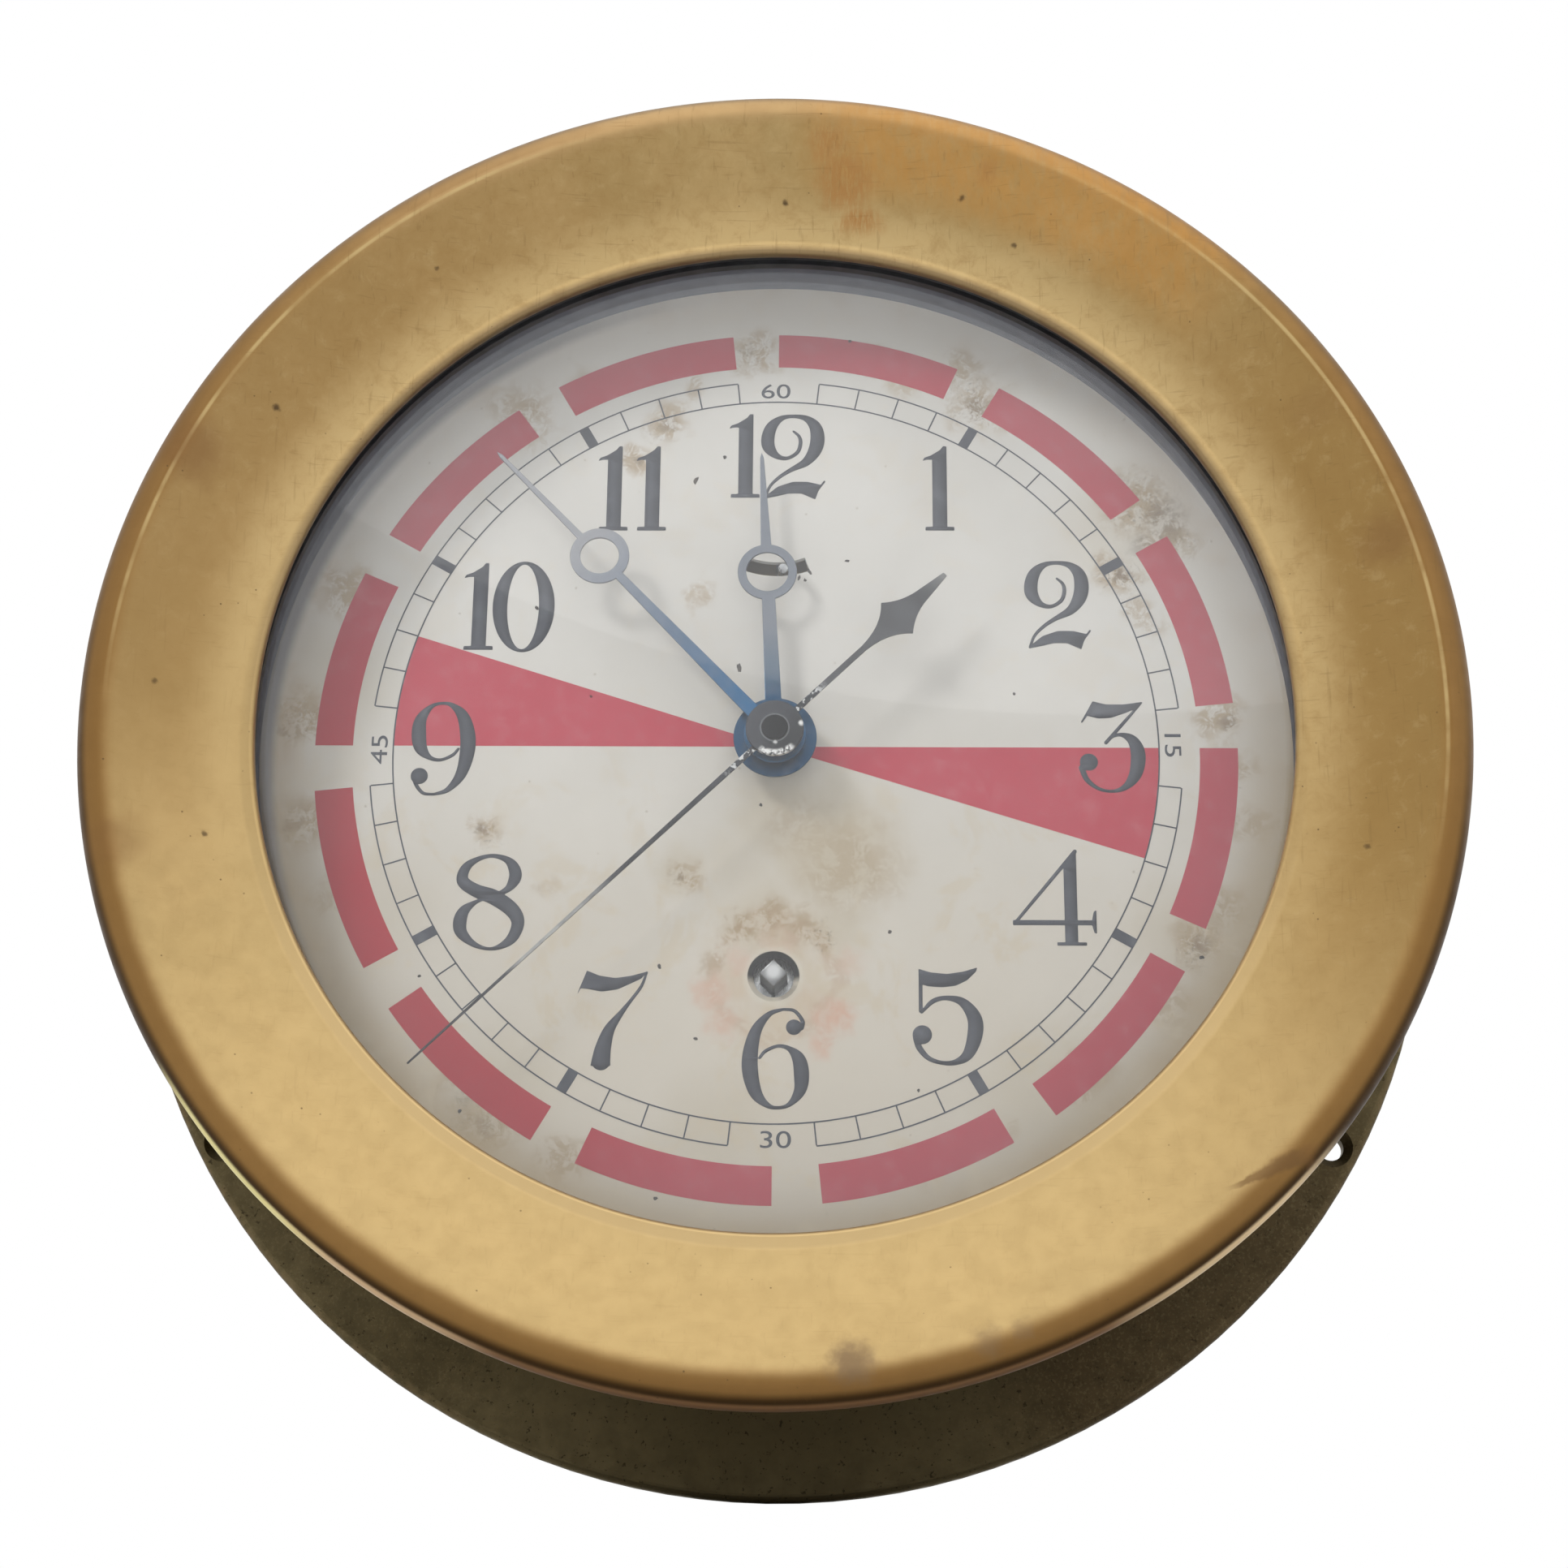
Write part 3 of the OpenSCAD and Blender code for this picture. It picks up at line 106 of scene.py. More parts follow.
def world_point(x, y, h):
    return Vector((x * MM, -h * MM, y * MM))


def clock(radius, degrees):
    """Point on the dial at an angle clockwise from 12."""
    a = math.radians(degrees)
    return radius * math.sin(a), radius * math.cos(a)


# ---------------------------------------------------------------- shading helpers


class Shader:
    """A node tree with short calls to add and join shader nodes."""

    def __init__(self, tree):
        self.tree = tree
        tree.nodes.clear()

    def add(self, kind, inputs=None, **settings):
        node = self.tree.nodes.new("ShaderNode" + kind)
        for key, value in settings.items():
            setattr(node, key, value)
        for key, value in (inputs or {}).items():
            self.put(node.inputs[key], value)
        return node

    def put(self, socket, value):
        if isinstance(value, bpy.types.NodeSocket):
            self.tree.links.new(value, socket)
        else:
            socket.default_value = value

    def math(self, operation, a, b=0.0, c=0.0):
        return self.add("Math", {0: a, 1: b, 2: c}, operation=operation).outputs[0]

    def times(self, product, *factors):
        for factor in factors:
            product = self.math("MULTIPLY", product, factor)
        return product

    def vector(self, operation, a, b=(0.0, 0.0, 0.0)):
        node = self.add("VectorMath", {0: a, 1: b}, operation=operation)
        return node.outputs["Value" if operation in ("LENGTH", "DISTANCE") else "Vector"]

    def ramp(self, value, stops):
        node = self.add("ValToRGB", {0: value})
        elements = node.color_ramp.elements
        while len(elements) < len(stops):
            elements.new(0.5)
        for element, (position, color) in zip(elements, stops):
            element.position = position
            element.color = (*color, 1.0)
        return node.outputs[0]

    def span(self, value, low, high, to_low=0.0, to_high=1.0, smooth=True):
        """The value's way from low to high, turned into a number from to_low to to_high."""
        node = self.add("MapRange", {0: value, 1: low, 2: high, 3: to_low, 4: to_high})
        node.interpolation_type = "SMOOTHSTEP" if smooth else "LINEAR"
        return node.outputs[0]

    def band(self, value, middle, wide, narrow, strength=1.0):
        """Highest where a value is close to the middle one."""
        off = self.math("ABSOLUTE", self.math("SUBTRACT", value, middle))
        return self.span(off, wide, narrow, 0.0, strength)

    def noise(self, vector, scale, detail=4.0, rough=0.55, distortion=0.0):
        node = self.add("TexNoise", {"Vector": vector, "Scale": scale, "Detail": detail,
                                     "Roughness": rough, "Distortion": distortion})
        return node.outputs[0]

    def mix(self, factor, a, b, blend="MIX"):
        node = self.add("Mix", data_type="RGBA", blend_type=blend)
        self.put(node.inputs[0], factor)
        for socket, value in ((node.inputs[6], a), (node.inputs[7], b)):
            self.put(socket, (*value, 1.0) if isinstance(value, tuple) else value)
        return node.outputs[2]


class Surface(Shader):
    """A material with its coordinates in mm and the colour painted so far."""

    def __init__(self, name):
        self.material = bpy.data.materials.new(name)
        self.material.use_nodes = True
        super().__init__(self.material.node_tree)
        self.p = self.vector("MULTIPLY", self.add("TexCoord").outputs["Object"], (1 / MM,) * 3)
        self.flat = self.vector("MULTIPLY", self.p, (1.0, 0.0, 1.0))
        self.r = self.vector("LENGTH", self.flat)
        self.x, self.y, self.z = self.add("SeparateXYZ", {0: self.p}).outputs

    def ground(self, low, high, *patches):
        """The colour to begin with, in patches of two tints."""
        self.color = self.mix(self.patches(*patches), low, high)

    def paint(self, tint, *masks):
        """Lays a tint over the colour, as strongly as the masks say together."""
        self.color = self.mix(self.times(*masks), self.color, tint)

    def around(self, azimuth):
        """0 to 1, highest where the surface lies towards that clock angle."""
        x, y = clock(1.0, azimuth)
        along = self.math("ADD", self.math("MULTIPLY", self.x, x), self.math("MULTIPLY", self.z, y))
        cosine = self.math("DIVIDE", along, self.math("MAXIMUM", self.r, 0.01))
        return self.math("MULTIPLY_ADD", cosine, 0.5, 0.5)

    def toward(self, azimuth, *ends):
        return self.span(self.around(azimuth), *ends)

    def patches(self, noise, *ends):
        """Patches from a noise that is given as scale, detail, rough and distortion."""
        return self.span(self.noise(self.p, *noise), *ends)

    def streaks(self, stretch, *noise):
        """Noise drawn out along one axis."""
        return self.noise(self.vector("MULTIPLY", self.p, stretch), *noise)

    def rings(self, scale, detail, rough=0.5):
        """Noise by radius alone, as turning leaves it."""
        return self.add("TexNoise", {"W": self.r, "Scale": scale, "Detail": detail, "Roughness": rough},
                        noise_dimensions="1D").outputs[0]

    def specks(self, scale, size, cloud, full):
        """Small round specks, crowded where a slow noise is high."""
        cells = self.add("TexVoronoi", {"Vector": self.p, "Scale": scale}).outputs["Distance"]
        return self.times(self.span(cells, 0.03, size, 1.0, 0.0), self.patches((cloud, 2.0), 0.5, full))

    def stray(self, value, reach, scale):
        """A distance in mm that strays by half the reach to either side."""
        shift = self.math("MULTIPLY_ADD", self.noise(self.p, scale, 3.0), reach, -reach / 2)
        return self.math("ADD", value, shift)

    def blobs(self, spots, wobble=1.5, scale=0.25):
        """Highest of a set of soft round spots: (x, y, radius, strength)."""
        shift = self.add("TexNoise", {"Vector": self.p, "Scale": scale, "Detail": 3.0})
        centred = self.vector("SUBTRACT", shift.outputs[1], (0.5, 0.5, 0.5))
        moved_by = self.vector("MULTIPLY", centred, (wobble * 2, 0.0, wobble * 2))
        place = self.vector("ADD", self.flat, moved_by)
        total = None
        for x, y, radius, strength in spots:
            distance = self.vector("DISTANCE", place, (x, 0.0, y))
            spot = self.span(distance, radius * 0.2, radius, strength, 0.0)
            total = spot if total is None else self.math("MAXIMUM", total, spot)
        return total

    def principled(self, bump=None, **inputs):
        """The main shader; bump is a height with its strength and its depth in mm."""
        names = {"color": "Base Color", "metal": "Metallic", "rough": "Roughness", "ior": "IOR",
                 "specular": "Specular IOR Level", "transmission": "Transmission Weight"}
        shader = self.add("BsdfPrincipled")
        for key, value in inputs.items():
            self.put(shader.inputs[names[key]], (*value, 1.0) if isinstance(value, tuple) else value)
        if bump:
            height, strength, depth = bump
            bumped = self.add("Bump", {"Height": height, "Strength": strength, "Distance": depth * MM})
            self.put(shader.inputs["Normal"], bumped.outputs[0])
        return shader.outputs[0]

    def output(self, shader):
        self.add("OutputMaterial", {"Surface": shader})
        return self.material

    def finish(self, rough, bump, **inputs):
        """Ends a material that has its colour painted."""
        return self.output(self.principled(bump, color=self.color, rough=rough, **inputs))

    def finish_lines(self, lines, smoothest, roughest, strength, depth, **inputs):
        """The same, with one noise for the roughness and the relief."""
        rough = self.span(lines, 0.3, 0.7, smoothest, roughest)
        return self.finish(rough, (lines, strength, depth), **inputs)


# ---------------------------------------------------------------- materials


def brass(name, low, high, rough, height_of_grain, stain=0.3):
    """Brass with tarnish in patches and fine wear; the grain's height comes from a function."""
    s = Surface(name)
    s.ground(low, high, (0.09, 5.0, 0.6), 0.32, 0.7)
    s.paint((0.12, 0.08, 0.04), s.patches((0.22, 6.0, 0.7, 0.6), 0.55, 0.8, 0.0, stain))
    worn = s.patches((1.4, 4.0, 0.6), 0.3, 0.75, *rough)
    return s.finish(worn, (height_of_grain(s), 0.25, 0.02), metal=1.0)


def metal(name, low, high, rough=(0.2, 0.38), metal_part=1.0):
    """Steel or a coloured finish on it, with faint brushing and rubbed patches."""
    s = Surface(name)
    s.ground(low, high, (0.5, 5.0, 0.6), 0.35, 0.68)
    return s.finish_lines(s.streaks((5.0, 1.0, 0.7), 1.5, 3.0), *rough, 0.15, 0.01, metal=metal_part)


# dark spots: x, y, radius, strength, as in all lists of stains below
BEZEL_SPOTS = [
    (1.1, 83.5, 0.7, 0.8), (-74.9, 47.1, 0.8, 0.8), (32.5, 69.3, 0.7, 0.8), (53.7, 53.4, 0.7, 0.8),
    (28.2, 83.2, 0.7, 0.7), (36.2, 75.9, 0.6, 0.7), (-76, -15.6, 0.7, 0.7), (-81.1, -19.3, 0.6, 0.7),
    (7, -76.8, 0.8, 0.7), (-89.5, 3, 0.6, 0.6), (84, -21, 0.6, 0.6), (-52, 71, 0.5, 0.6),
]
COPPER_PATCH = [(10.2, 86.5, 6.5, 0.9), (12.4, 79.8, 4.8, 0.95), (7.6, 91.5, 4.5, 0.7),
                (32.0, 86.5, 2.6, 0.6), (13.5, 78.0, 2.6, 0.6)]
BRUISES = [(11.2, -93.8, 4.4, 0.9), (29.0, -91.0, 3.0, 0.5), (33.5, -89.5, 2.2, 0.4)]
RIM_STAINS = [
    (-86.4, 39, 7, 0.6), (-92.5, -22, 6, 0.4), (89, 25, 6, 0.5), (80, 46, 5, 0.2), (72.5, -66, 2.2, 0.4),
]
# painted reflections along the bead's lower edge: clock angle, where it starts and is full, strength, tint
BEAD_EDGE_REFLECTIONS = [(180, 0.82, 0.93, 0.85, (0.30, 0.165, 0.075)), (213, 0.988, 0.999, 0.9, (0.72, 0.52, 0.31)),
               (227, 0.990, 0.999, 0.9, (0.82, 0.73, 0.34)), (141, 0.987, 0.999, 0.9, (0.80, 0.62, 0.37))]
DENT_START = (61.4, -70.7)
DENT_ALONG = (0.911, 0.412)


def bezel_material():
    s = Surface("bezel_brass_worn_with_painted_light")
    s.ground((0.36, 0.248, 0.104), (0.43, 0.298, 0.132), (0.05, 5.0, 0.6), 0.35, 0.68)
    # painted shade browns both sides, and a painted highlight makes the foot paler
    s.paint((0.30, 0.182, 0.06), s.toward(86, 0.76, 0.99, 0.0, 0.85))
    s.paint((0.33, 0.2, 0.075), s.toward(300, 0.75, 1.0, 0.0, 0.6))
    s.paint((0.525, 0.374, 0.170), s.toward(186, 0.5, 0.95, 0.0, 0.86))
    # smooth at the foot, cloudy and marked towards the top
    cloudy = s.toward(20, 0.25, 0.75, 0.3, 1.0)
    # painted highlight: the face is palest where it falls to the lip, most towards the top
    s.paint((0.55, 0.40, 0.19), s.span(s.r, 87.0, 78.0), s.toward(0, 0.2, 0.7, 0.3, 0.75))
    tone = s.noise(s.p, 0.32, 6.0, 0.72, 0.4)
    s.paint((0.29, 0.172, 0.06), s.span(tone, 0.45, 0.72, 0.0, 0.36), cloudy)
    s.paint((0.52, 0.385, 0.19), s.span(tone, 0.48, 0.3, 0.0, 0.22), cloudy)
    # copper on the bead's outer half, strongest low down, where it is also painted shade
    bead = s.span(s.stray(s.r, 1.0, 0.09), BEZEL_R - 6.1, BEZEL_R - 3.4)
    copper_and_bead_shade = s.times(bead, s.toward(180, 0.08, 0.32, 0.2, 0.95))
    s.paint((0.24, 0.13, 0.042), copper_and_bead_shade)
    # painted highlight along the bead's crown at the top
    s.paint((0.55, 0.36, 0.18), bead, s.toward(0, 0.84, 0.95, 0.0, 0.5))
    # painted shade on the bead's outer edge, deepest low down
    rim = s.span(s.r, BEZEL_R - 2.2, BEZEL_R - 0.9)
    s.paint((0.045, 0.024, 0.009), rim, s.toward(180, 0.15, 0.85, 0.35, 0.95))
    # painted highlight: a pale line where the face meets the bead, on both shoulders, with painted shade on
    # the bead just outside it
    shoulders = s.math("MAXIMUM", s.toward(62, 0.86, 0.95), s.toward(308, 0.88, 0.97))
    s.paint((0.27, 0.155, 0.058), s.span(s.r, BEZEL_R - 4.0, BEZEL_R - 3.4), shoulders, 0.55)
    s.paint((0.58, 0.44, 0.21), s.band(s.r, BEZEL_R - 4.3, 0.42, 0.1), shoulders,
            s.patches((0.12, 3.0), 0.35, 0.6, 0.2, 0.6))
    # painted reflections along the bead's lower edge: bright at the left, copper along the foot, pale at
    # the right
    rubbed = s.times(s.span(s.y, -69.7, -69.0), s.span(s.r, BEZEL_R - 1.3, BEZEL_R - 0.9))
    for azimuth, start, full, strength, tint in BEAD_EDGE_REFLECTIONS:
        s.paint(tint, rubbed, s.toward(azimuth, start, full, 0.0, strength))
    # most marks lie on the front alone, not on the skirt behind the bead
    front = s.span(s.y, 7.5 - BEZEL_FRONT_Z, 6.5 - BEZEL_FRONT_Z)
    # copper has come up in a warm stretch towards the bead, from half past twelve to two
    streaked = s.span(s.streaks((1.6, 1.0, 0.5), 0.4, 5.0, 0.7), 0.3, 0.62, 0.45, 1.0)
    s.paint((0.455, 0.225, 0.057), s.toward(24, 0.955, 0.985, 0.0, 0.62), s.span(s.r, 82.5, 90.0), streaked,
            front)
    # rubbed copper patch near one o'clock
    brushing = s.span(s.streaks((2.4, 1.0, 0.35), 0.8, 4.0, 0.65), 0.36, 0.56, 0.25, 1.0)
    s.paint((0.37, 0.192, 0.066), s.blobs(COPPER_PATCH, 1.6, 0.4), brushing, front)
    s.paint((0.225, 0.150, 0.082), s.blobs(BRUISES, 1.6, 0.6), front)
    s.paint((0.22, 0.115, 0.045), s.blobs(RIM_STAINS, 2.0, 0.3))
    # fine hairlines in two directions
    for stretch, shift in (((0.12, 1.0, 2.6), 0.0), ((2.2, 1.0, 0.14), 40.0)):
        place = s.vector("ADD", s.vector("MULTIPLY", s.p, stretch), (shift, 0.0, shift))
        hair = s.span(s.noise(place, 0.9, 2.0, 0.5, 0.3), 0.62, 0.72, 0.0, 0.22)
        s.paint((0.20, 0.12, 0.045), hair, cloudy)
    # a long dent low on the right, rising to the bead
    (start_x, start_z), (along_x, along_z) = DENT_START, DENT_ALONG
    run_x, run_z = s.math("SUBTRACT", s.x, start_x), s.math("SUBTRACT", s.z, start_z)
    run = s.math("ADD", s.times(run_x, along_x), s.times(run_z, along_z))
    off = s.math("SUBTRACT", s.times(run_z, along_x), s.times(run_x, along_z))
    off = s.math("DIVIDE", s.math("ABSOLUTE", s.stray(off, 1.2, 0.5)), s.span(run, 0.0, 9.0, 0.35, 1.1))
    s.paint((0.17, 0.095, 0.04), s.span(off, 1.3, 0.5), s.span(run, -0.5, 3.0),
            s.span(run, 13.0, 10.0, 0.0, 0.75), front)
    spots = s.times(s.blobs(BEZEL_SPOTS, 0.4, 1.2), front)
    s.paint((0.05, 0.03, 0.02), spots)
    s.paint((0.09, 0.055, 0.03), s.specks(0.42, 0.085, 0.16, 0.62), 0.7)
    # painted highlight on the flat of the lip at the foot, as pale as the face, and painted shade on its
    # inmost edge there
    foot_half = s.toward(180, 0.55, 0.85)
    s.paint((0.64, 0.465, 0.23), s.span(s.r, 78.3, 77.3), foot_half, 0.8)
    s.paint((0.22, 0.145, 0.075), s.span(s.r, 76.15, 75.8), foot_half, 0.65)
    # painted shade against the inner lip, towards the top
    s.paint((0.12, 0.08, 0.05), s.span(s.r, 75.9, 77.6, 1.0, 0.0), s.toward(0, 0.4, 0.8, 0.0, 0.6))
    height = s.math("ADD", s.rings(7.0, 4.0, 0.6), s.times(s.noise(s.p, 3.5, 3.0), 0.5))
    rough = s.patches((0.3, 5.0), 0.3, 0.7, 0.36, 0.47)
    rough = s.math("ADD", rough, s.times(s.math("ADD", spots, copper_and_bead_shade), 0.06))
    return s.finish(rough, (height, 0.16, 0.02), metal=1.0)


def case_material():
    s = Surface("case_brass_dark")
    # the ground is as dark as the case looks in the bezel's shadow: dark tarnish with painted shade in it
    s.ground((0.100, 0.079, 0.040), (0.122, 0.097, 0.050), (0.07, 6.0, 0.65), 0.35, 0.7)
    worn = s.times(s.span(s.r, FLANGE_R - 1.6, FLANGE_R - 0.3), 0.6, s.patches((0.5, 4.0), 0.35, 0.65))
    s.paint((0.20, 0.145, 0.075), worn)
    spot = s.times(s.blobs([(11.1, -103.4, 1.8, 0.9)], 0.5, 0.8), s.span(s.y, -1.5, -2.5))
    s.paint((0.02, 0.015, 0.01), spot)
    inside = s.times(s.span(s.r, DRUM_R - 2.6, DRUM_R - 2.4, 1.0, 0.0), s.span(s.y, -0.5, -1.0), 0.5)
    s.paint((0.30, 0.22, 0.11), inside)
    # the back is turned flat: fine rings, and scuffs where it has lain on a bulkhead
    back = s.span(s.y, -0.5, -0.2)
    s.paint((0.24, 0.18, 0.09), s.span(s.rings(1.1, 5.0, 0.7), 0.4, 0.62, 0.0, 0.35), back)
    s.paint((0.30, 0.225, 0.115), s.patches((0.06, 5.0, 0.7, 0.8), 0.55, 0.68, 0.0, 0.5), back)
    # browner low on the right, paler at the very foot, with grit and pits all over
    s.paint((0.080, 0.057, 0.030), s.toward(148, 0.9, 0.98, 0.0, 0.8))
    s.paint((0.165, 0.135, 0.070), s.toward(182, 0.93, 0.985, 0.0, 0.75))
    s.paint((0.16, 0.13, 0.07), s.patches((2.2, 3.0, 0.6), 0.5, 0.66, 0.0, 0.4))
    s.paint((0.03, 0.022, 0.012), s.patches((1.3, 4.0, 0.6), 0.61, 0.69, 0.0, 0.7))
    rough = s.patches((0.4, 4.0), 0.3, 0.7, 0.42, 0.62)
    return s.finish(rough, (s.noise(s.p, 1.1, 6.0, 0.7), 0.3, 0.03), metal=1.0)


TAN_STAINS = [
    (-13.3, -20, 3.4, 0.85), (-43.3, -13.3, 3.6, 0.8), (-11.7, 25, 3.4, 0.6), (-21.2, 47.5, 4, 0.8),
    (-16.7, 54, 4.6, 0.8), (-14, 59.5, 3, 0.6), (31.7, 57, 7, 0.8), (29, 63.5, 5, 0.75),
    (55.5, 40, 8, 0.85), (60, 34, 6, 0.8), (52, 28, 4.5, 0.85), (56, 21, 4, 0.6), (66.5, 5, 6, 0.8),
    (69, -3, 4, 0.7), (62, -29.5, 6.5, 0.8), (66, -25, 5, 0.7), (57, -40, 5, 0.6), (45, -50, 6, 0.6),
    (-4, 66.5, 5.5, 0.8), (15.7, 64.5, 4, 0.75), (20, 61, 4, 0.6), (-40, 55, 8, 0.8), (-30, 60, 5, 0.6),
    (-66, 25, 6.5, 0.8), (-71.5, 5, 6.5, 0.85), (-70.5, -12, 7, 0.85), (-66, -24, 4, 0.5),
    (-41.5, -57.5, 7, 0.8), (-47, -50, 4, 0.6), (-30, -63.5, 5.5, 0.75), (-34, -22, 3, 0.4),
    (11.7, -18.3, 11, 0.5), (4, -13, 8, 0.35), (71, -12, 4, 0.6), (22, -64, 4, 0.4), (33, -58, 3.5, 0.35),
    (0.5, -26.5, 4, 0.8), (-4.5, -28, 4, 0.9), (4.5, -28, 3.6, 0.8), (7.5, -30.5, 3, 0.7),
    (-8.5, -33, 2.6, 0.5),
]
SOFT_STAINS = [
    (9, -16, 15, 0.85), (1, -12, 12, 0.6), (-5, -19, 10, 0.4), (-1, -27, 11, 0.55), (-14, -19.5, 6, 0.5),
    (9, -28, 8, 0.6), (-38, -52, 12, 0.35), (-58, -25, 12, 0.3), (60, -28, 12, 0.4), (40, -52, 14, 0.4),
    (-8, -58, 12, 0.35), (52, 36, 14, 0.4), (-65, 10, 12, 0.4),
]
PINK_STAINS = [
    (9, -41.5, 4.6, 1), (7, -45.5, 3.4, 0.8), (-9.5, -38, 4, 0.8), (-8, -43, 3.4, 0.7), (1, -31, 4, 0.4),
    (11, -34, 3.5, 0.4), (-5, -33, 3, 0.5),
]
DARK_STAINS = [
    (-14, -20.5, 1.5, 0.6), (-43.8, -13, 1.6, 0.7), (-21.5, 47.2, 1.4, 0.6), (-17, 53.5, 2, 0.5),
    (-73.5, 3, 2.6, 0.7), (53, 28, 2.2, 0.8), (68, 4, 2, 0.6), (31, 56.5, 3, 0.7), (60, 37.5, 5, 0.65),
    (56, 33, 3, 0.5), (52.5, 43, 3, 0.45), (-5, 66.5, 1.6, 0.5), (62.5, -31, 2.2, 0.5),
    (-44, -53, 2.4, 0.5), (-41, -58, 2.4, 0.5), (-72, -12, 2.4, 0.5),
]
PEPPER = [
    (57, 40, 9, 1), (61, 33, 6, 0.9), (52, 28, 5.5, 1), (31, 58, 7, 0.8), (62, -31, 6, 0.7),
    (-44, -56, 6, 0.6), (7.5, -29.5, 4, 0.8), (-72, -12, 5, 0.7), (-72, 4, 5, 0.7), (-18, 53, 5, 0.6),
    (-4, 67, 5, 0.5), (-43, -14, 4, 0.6),
]


def dial_material():
    s = Surface("silvered_dial_aged_with_painted_shade")
    s.ground((0.605, 0.585, 0.550), (0.655, 0.636, 0.603), (0.035, 4.0, 0.6), 0.35, 0.65)
    s.paint((0.585, 0.52, 0.42), s.span(s.z, 25.0, -60.0, 0.0, 0.7))
    s.paint((0.43, 0.35, 0.25), s.span(s.r, 62.0, 77.0), s.toward(180, 0.2, 0.75, 0.3, 0.75))
    # a yellowed disc and a broken brown ring round the winding hole
    hole = s.vector("DISTANCE", s.flat, (0.0, 0.0, -WINDING_DROP))
    halo = s.times(s.span(hole, 13.5, 5.5), s.patches((0.16, 4.0, 0.6), 0.38, 0.62, 0.3, 0.8))
    s.paint((0.56, 0.45, 0.33), halo)
    mottle = s.patches((0.42, 6.0, 0.78, 0.5), 0.41, 0.55, 0.12, 1.0)
    s.paint((0.50, 0.435, 0.325), s.blobs(SOFT_STAINS, 3.4, 0.16))
    ring = s.band(s.stray(hole, 5.0, 0.2), 8.8, 1.9, 0.4)
    s.paint((0.46, 0.32, 0.215), ring, mottle, 0.5)
    s.paint((0.375, 0.275, 0.165), s.blobs(TAN_STAINS, 3.6, 0.26), mottle)
    half_mottle = s.math("MULTIPLY_ADD", mottle, 0.5, 0.5)
    s.paint((0.60, 0.395, 0.30), s.blobs(PINK_STAINS, 2.6, 0.35), half_mottle)
    s.paint((0.17, 0.125, 0.09), s.blobs(DARK_STAINS, 1.4, 0.6), mottle, 0.85)
    pepper = s.times(s.blobs(PEPPER, 2.0, 0.3), s.patches((1.9, 4.0, 0.7), 0.57, 0.64), 0.7)
    s.paint((0.20, 0.165, 0.13), pepper)
    # the outer ring is browned in patches and yellowed low down
    s.paint((0.42, 0.30, 0.18), s.span(s.r, 70.0, 76.5, 0.0, 0.75), s.toward(200, 0.3, 0.7, 0.3, 1.0),
            s.patches((0.12, 5.0, 0.65), 0.42, 0.7))
    s.paint((0.49, 0.375, 0.21), s.span(s.r, 69.0, 76.0), s.toward(180, 0.3, 0.8, 0.0, 0.62))
    # cream blotches where the silvering has thinned, mostly low on the dial
    s.paint((0.56, 0.475, 0.345), s.patches((0.09, 6.0, 0.7, 0.6), 0.52, 0.64, 0.0, 0.5),
            s.span(s.z, 10.0, -35.0, 0.3, 1.0))
    # painted shadow in the corner under the surround, widest at the left
    s.paint((0.13, 0.132, 0.15), s.span(s.r, 74.6, 76.6), s.toward(292, 0.72, 0.96, 0.0, 0.8))
    s.paint((0.30, 0.24, 0.17), s.specks(0.3, 0.09, 0.07, 0.6), 0.4)
    # the silver is gone just round the winding hole, and painted shade darkens its upper side
    s.paint((0.70, 0.68, 0.60), s.span(hole, 3.9, 5.0, 0.35, 0.0))
    upper_hole_shade = s.times(s.span(hole, 3.9, 3.7), s.span(s.z, -WINDING_DROP - 1.2, -WINDING_DROP + 0.4))
    s.paint((0.012, 0.012, 0.014), upper_hole_shade)
    rough = s.patches((0.6, 4.0), 0.3, 0.7, 0.5, 0.62)
    return s.finish(rough, (s.noise(s.p, 4.0, 4.0, 0.6), 0.08, 0.01), metal=0.0, specular=0.35)


def ink_material(name, color, faded, rough=0.55, deep=None):
    """Printed ink, faded in patches and, with deep, stronger towards the lower left."""
    s = Surface(name)
    s.ground(color, faded, (0.35, 5.0, 0.65), 0.45, 0.8)
    if deep:
        s.paint(deep, s.toward(240, 0.8, 0.98))
    return s.finish(rough, (s.noise(s.p, 3.0, 3.0), 0.1, 0.01), specular=0.3)


def glass_material():
    s = Surface("clear_glass_pane")
    haze = s.patches((0.05, 5.0, 0.6), 0.3, 0.75, 0.006, 0.022)
    clear = s.principled(color=(0.985, 0.99, 0.985), rough=0.0, transmission=1.0, ior=1.5)
    film = s.add("BsdfDiffuse", {"Color": (0.75, 0.76, 0.78, 1.0)}).outputs[0]
    veiled = s.add("MixShader", {0: haze, 1: clear, 2: film}).outputs[0]
    path = s.add("LightPath")
    free = s.math("MAXIMUM", path.outputs["Is Shadow Ray"], path.outputs["Is Diffuse Ray"])
    through = s.add("BsdfTransparent", {"Color": (0.94, 0.942, 0.94, 1.0)}).outputs[0]
    return s.output(s.add("MixShader", {0: free, 1: veiled, 2: through}).outputs[0])


def paint_material(name, low, high, rough):
    """Paint, enamel or rubber, chipped in small places."""
    s = Surface(name)
    s.ground(low, high, (0.2, 5.0, 0.6), 0.35, 0.7)
    s.paint((0.32, 0.27, 0.2), s.patches((0.9, 5.0, 0.7), 0.68, 0.76, 0.0, 0.35))
    rough_value = s.patches((0.7, 3.0), 0.3, 0.7, rough - 0.06, rough + 0.08)
    return s.finish(rough_value, (s.noise(s.p, 1.8, 4.0, 0.6), 0.15, 0.02), metal=0.0)


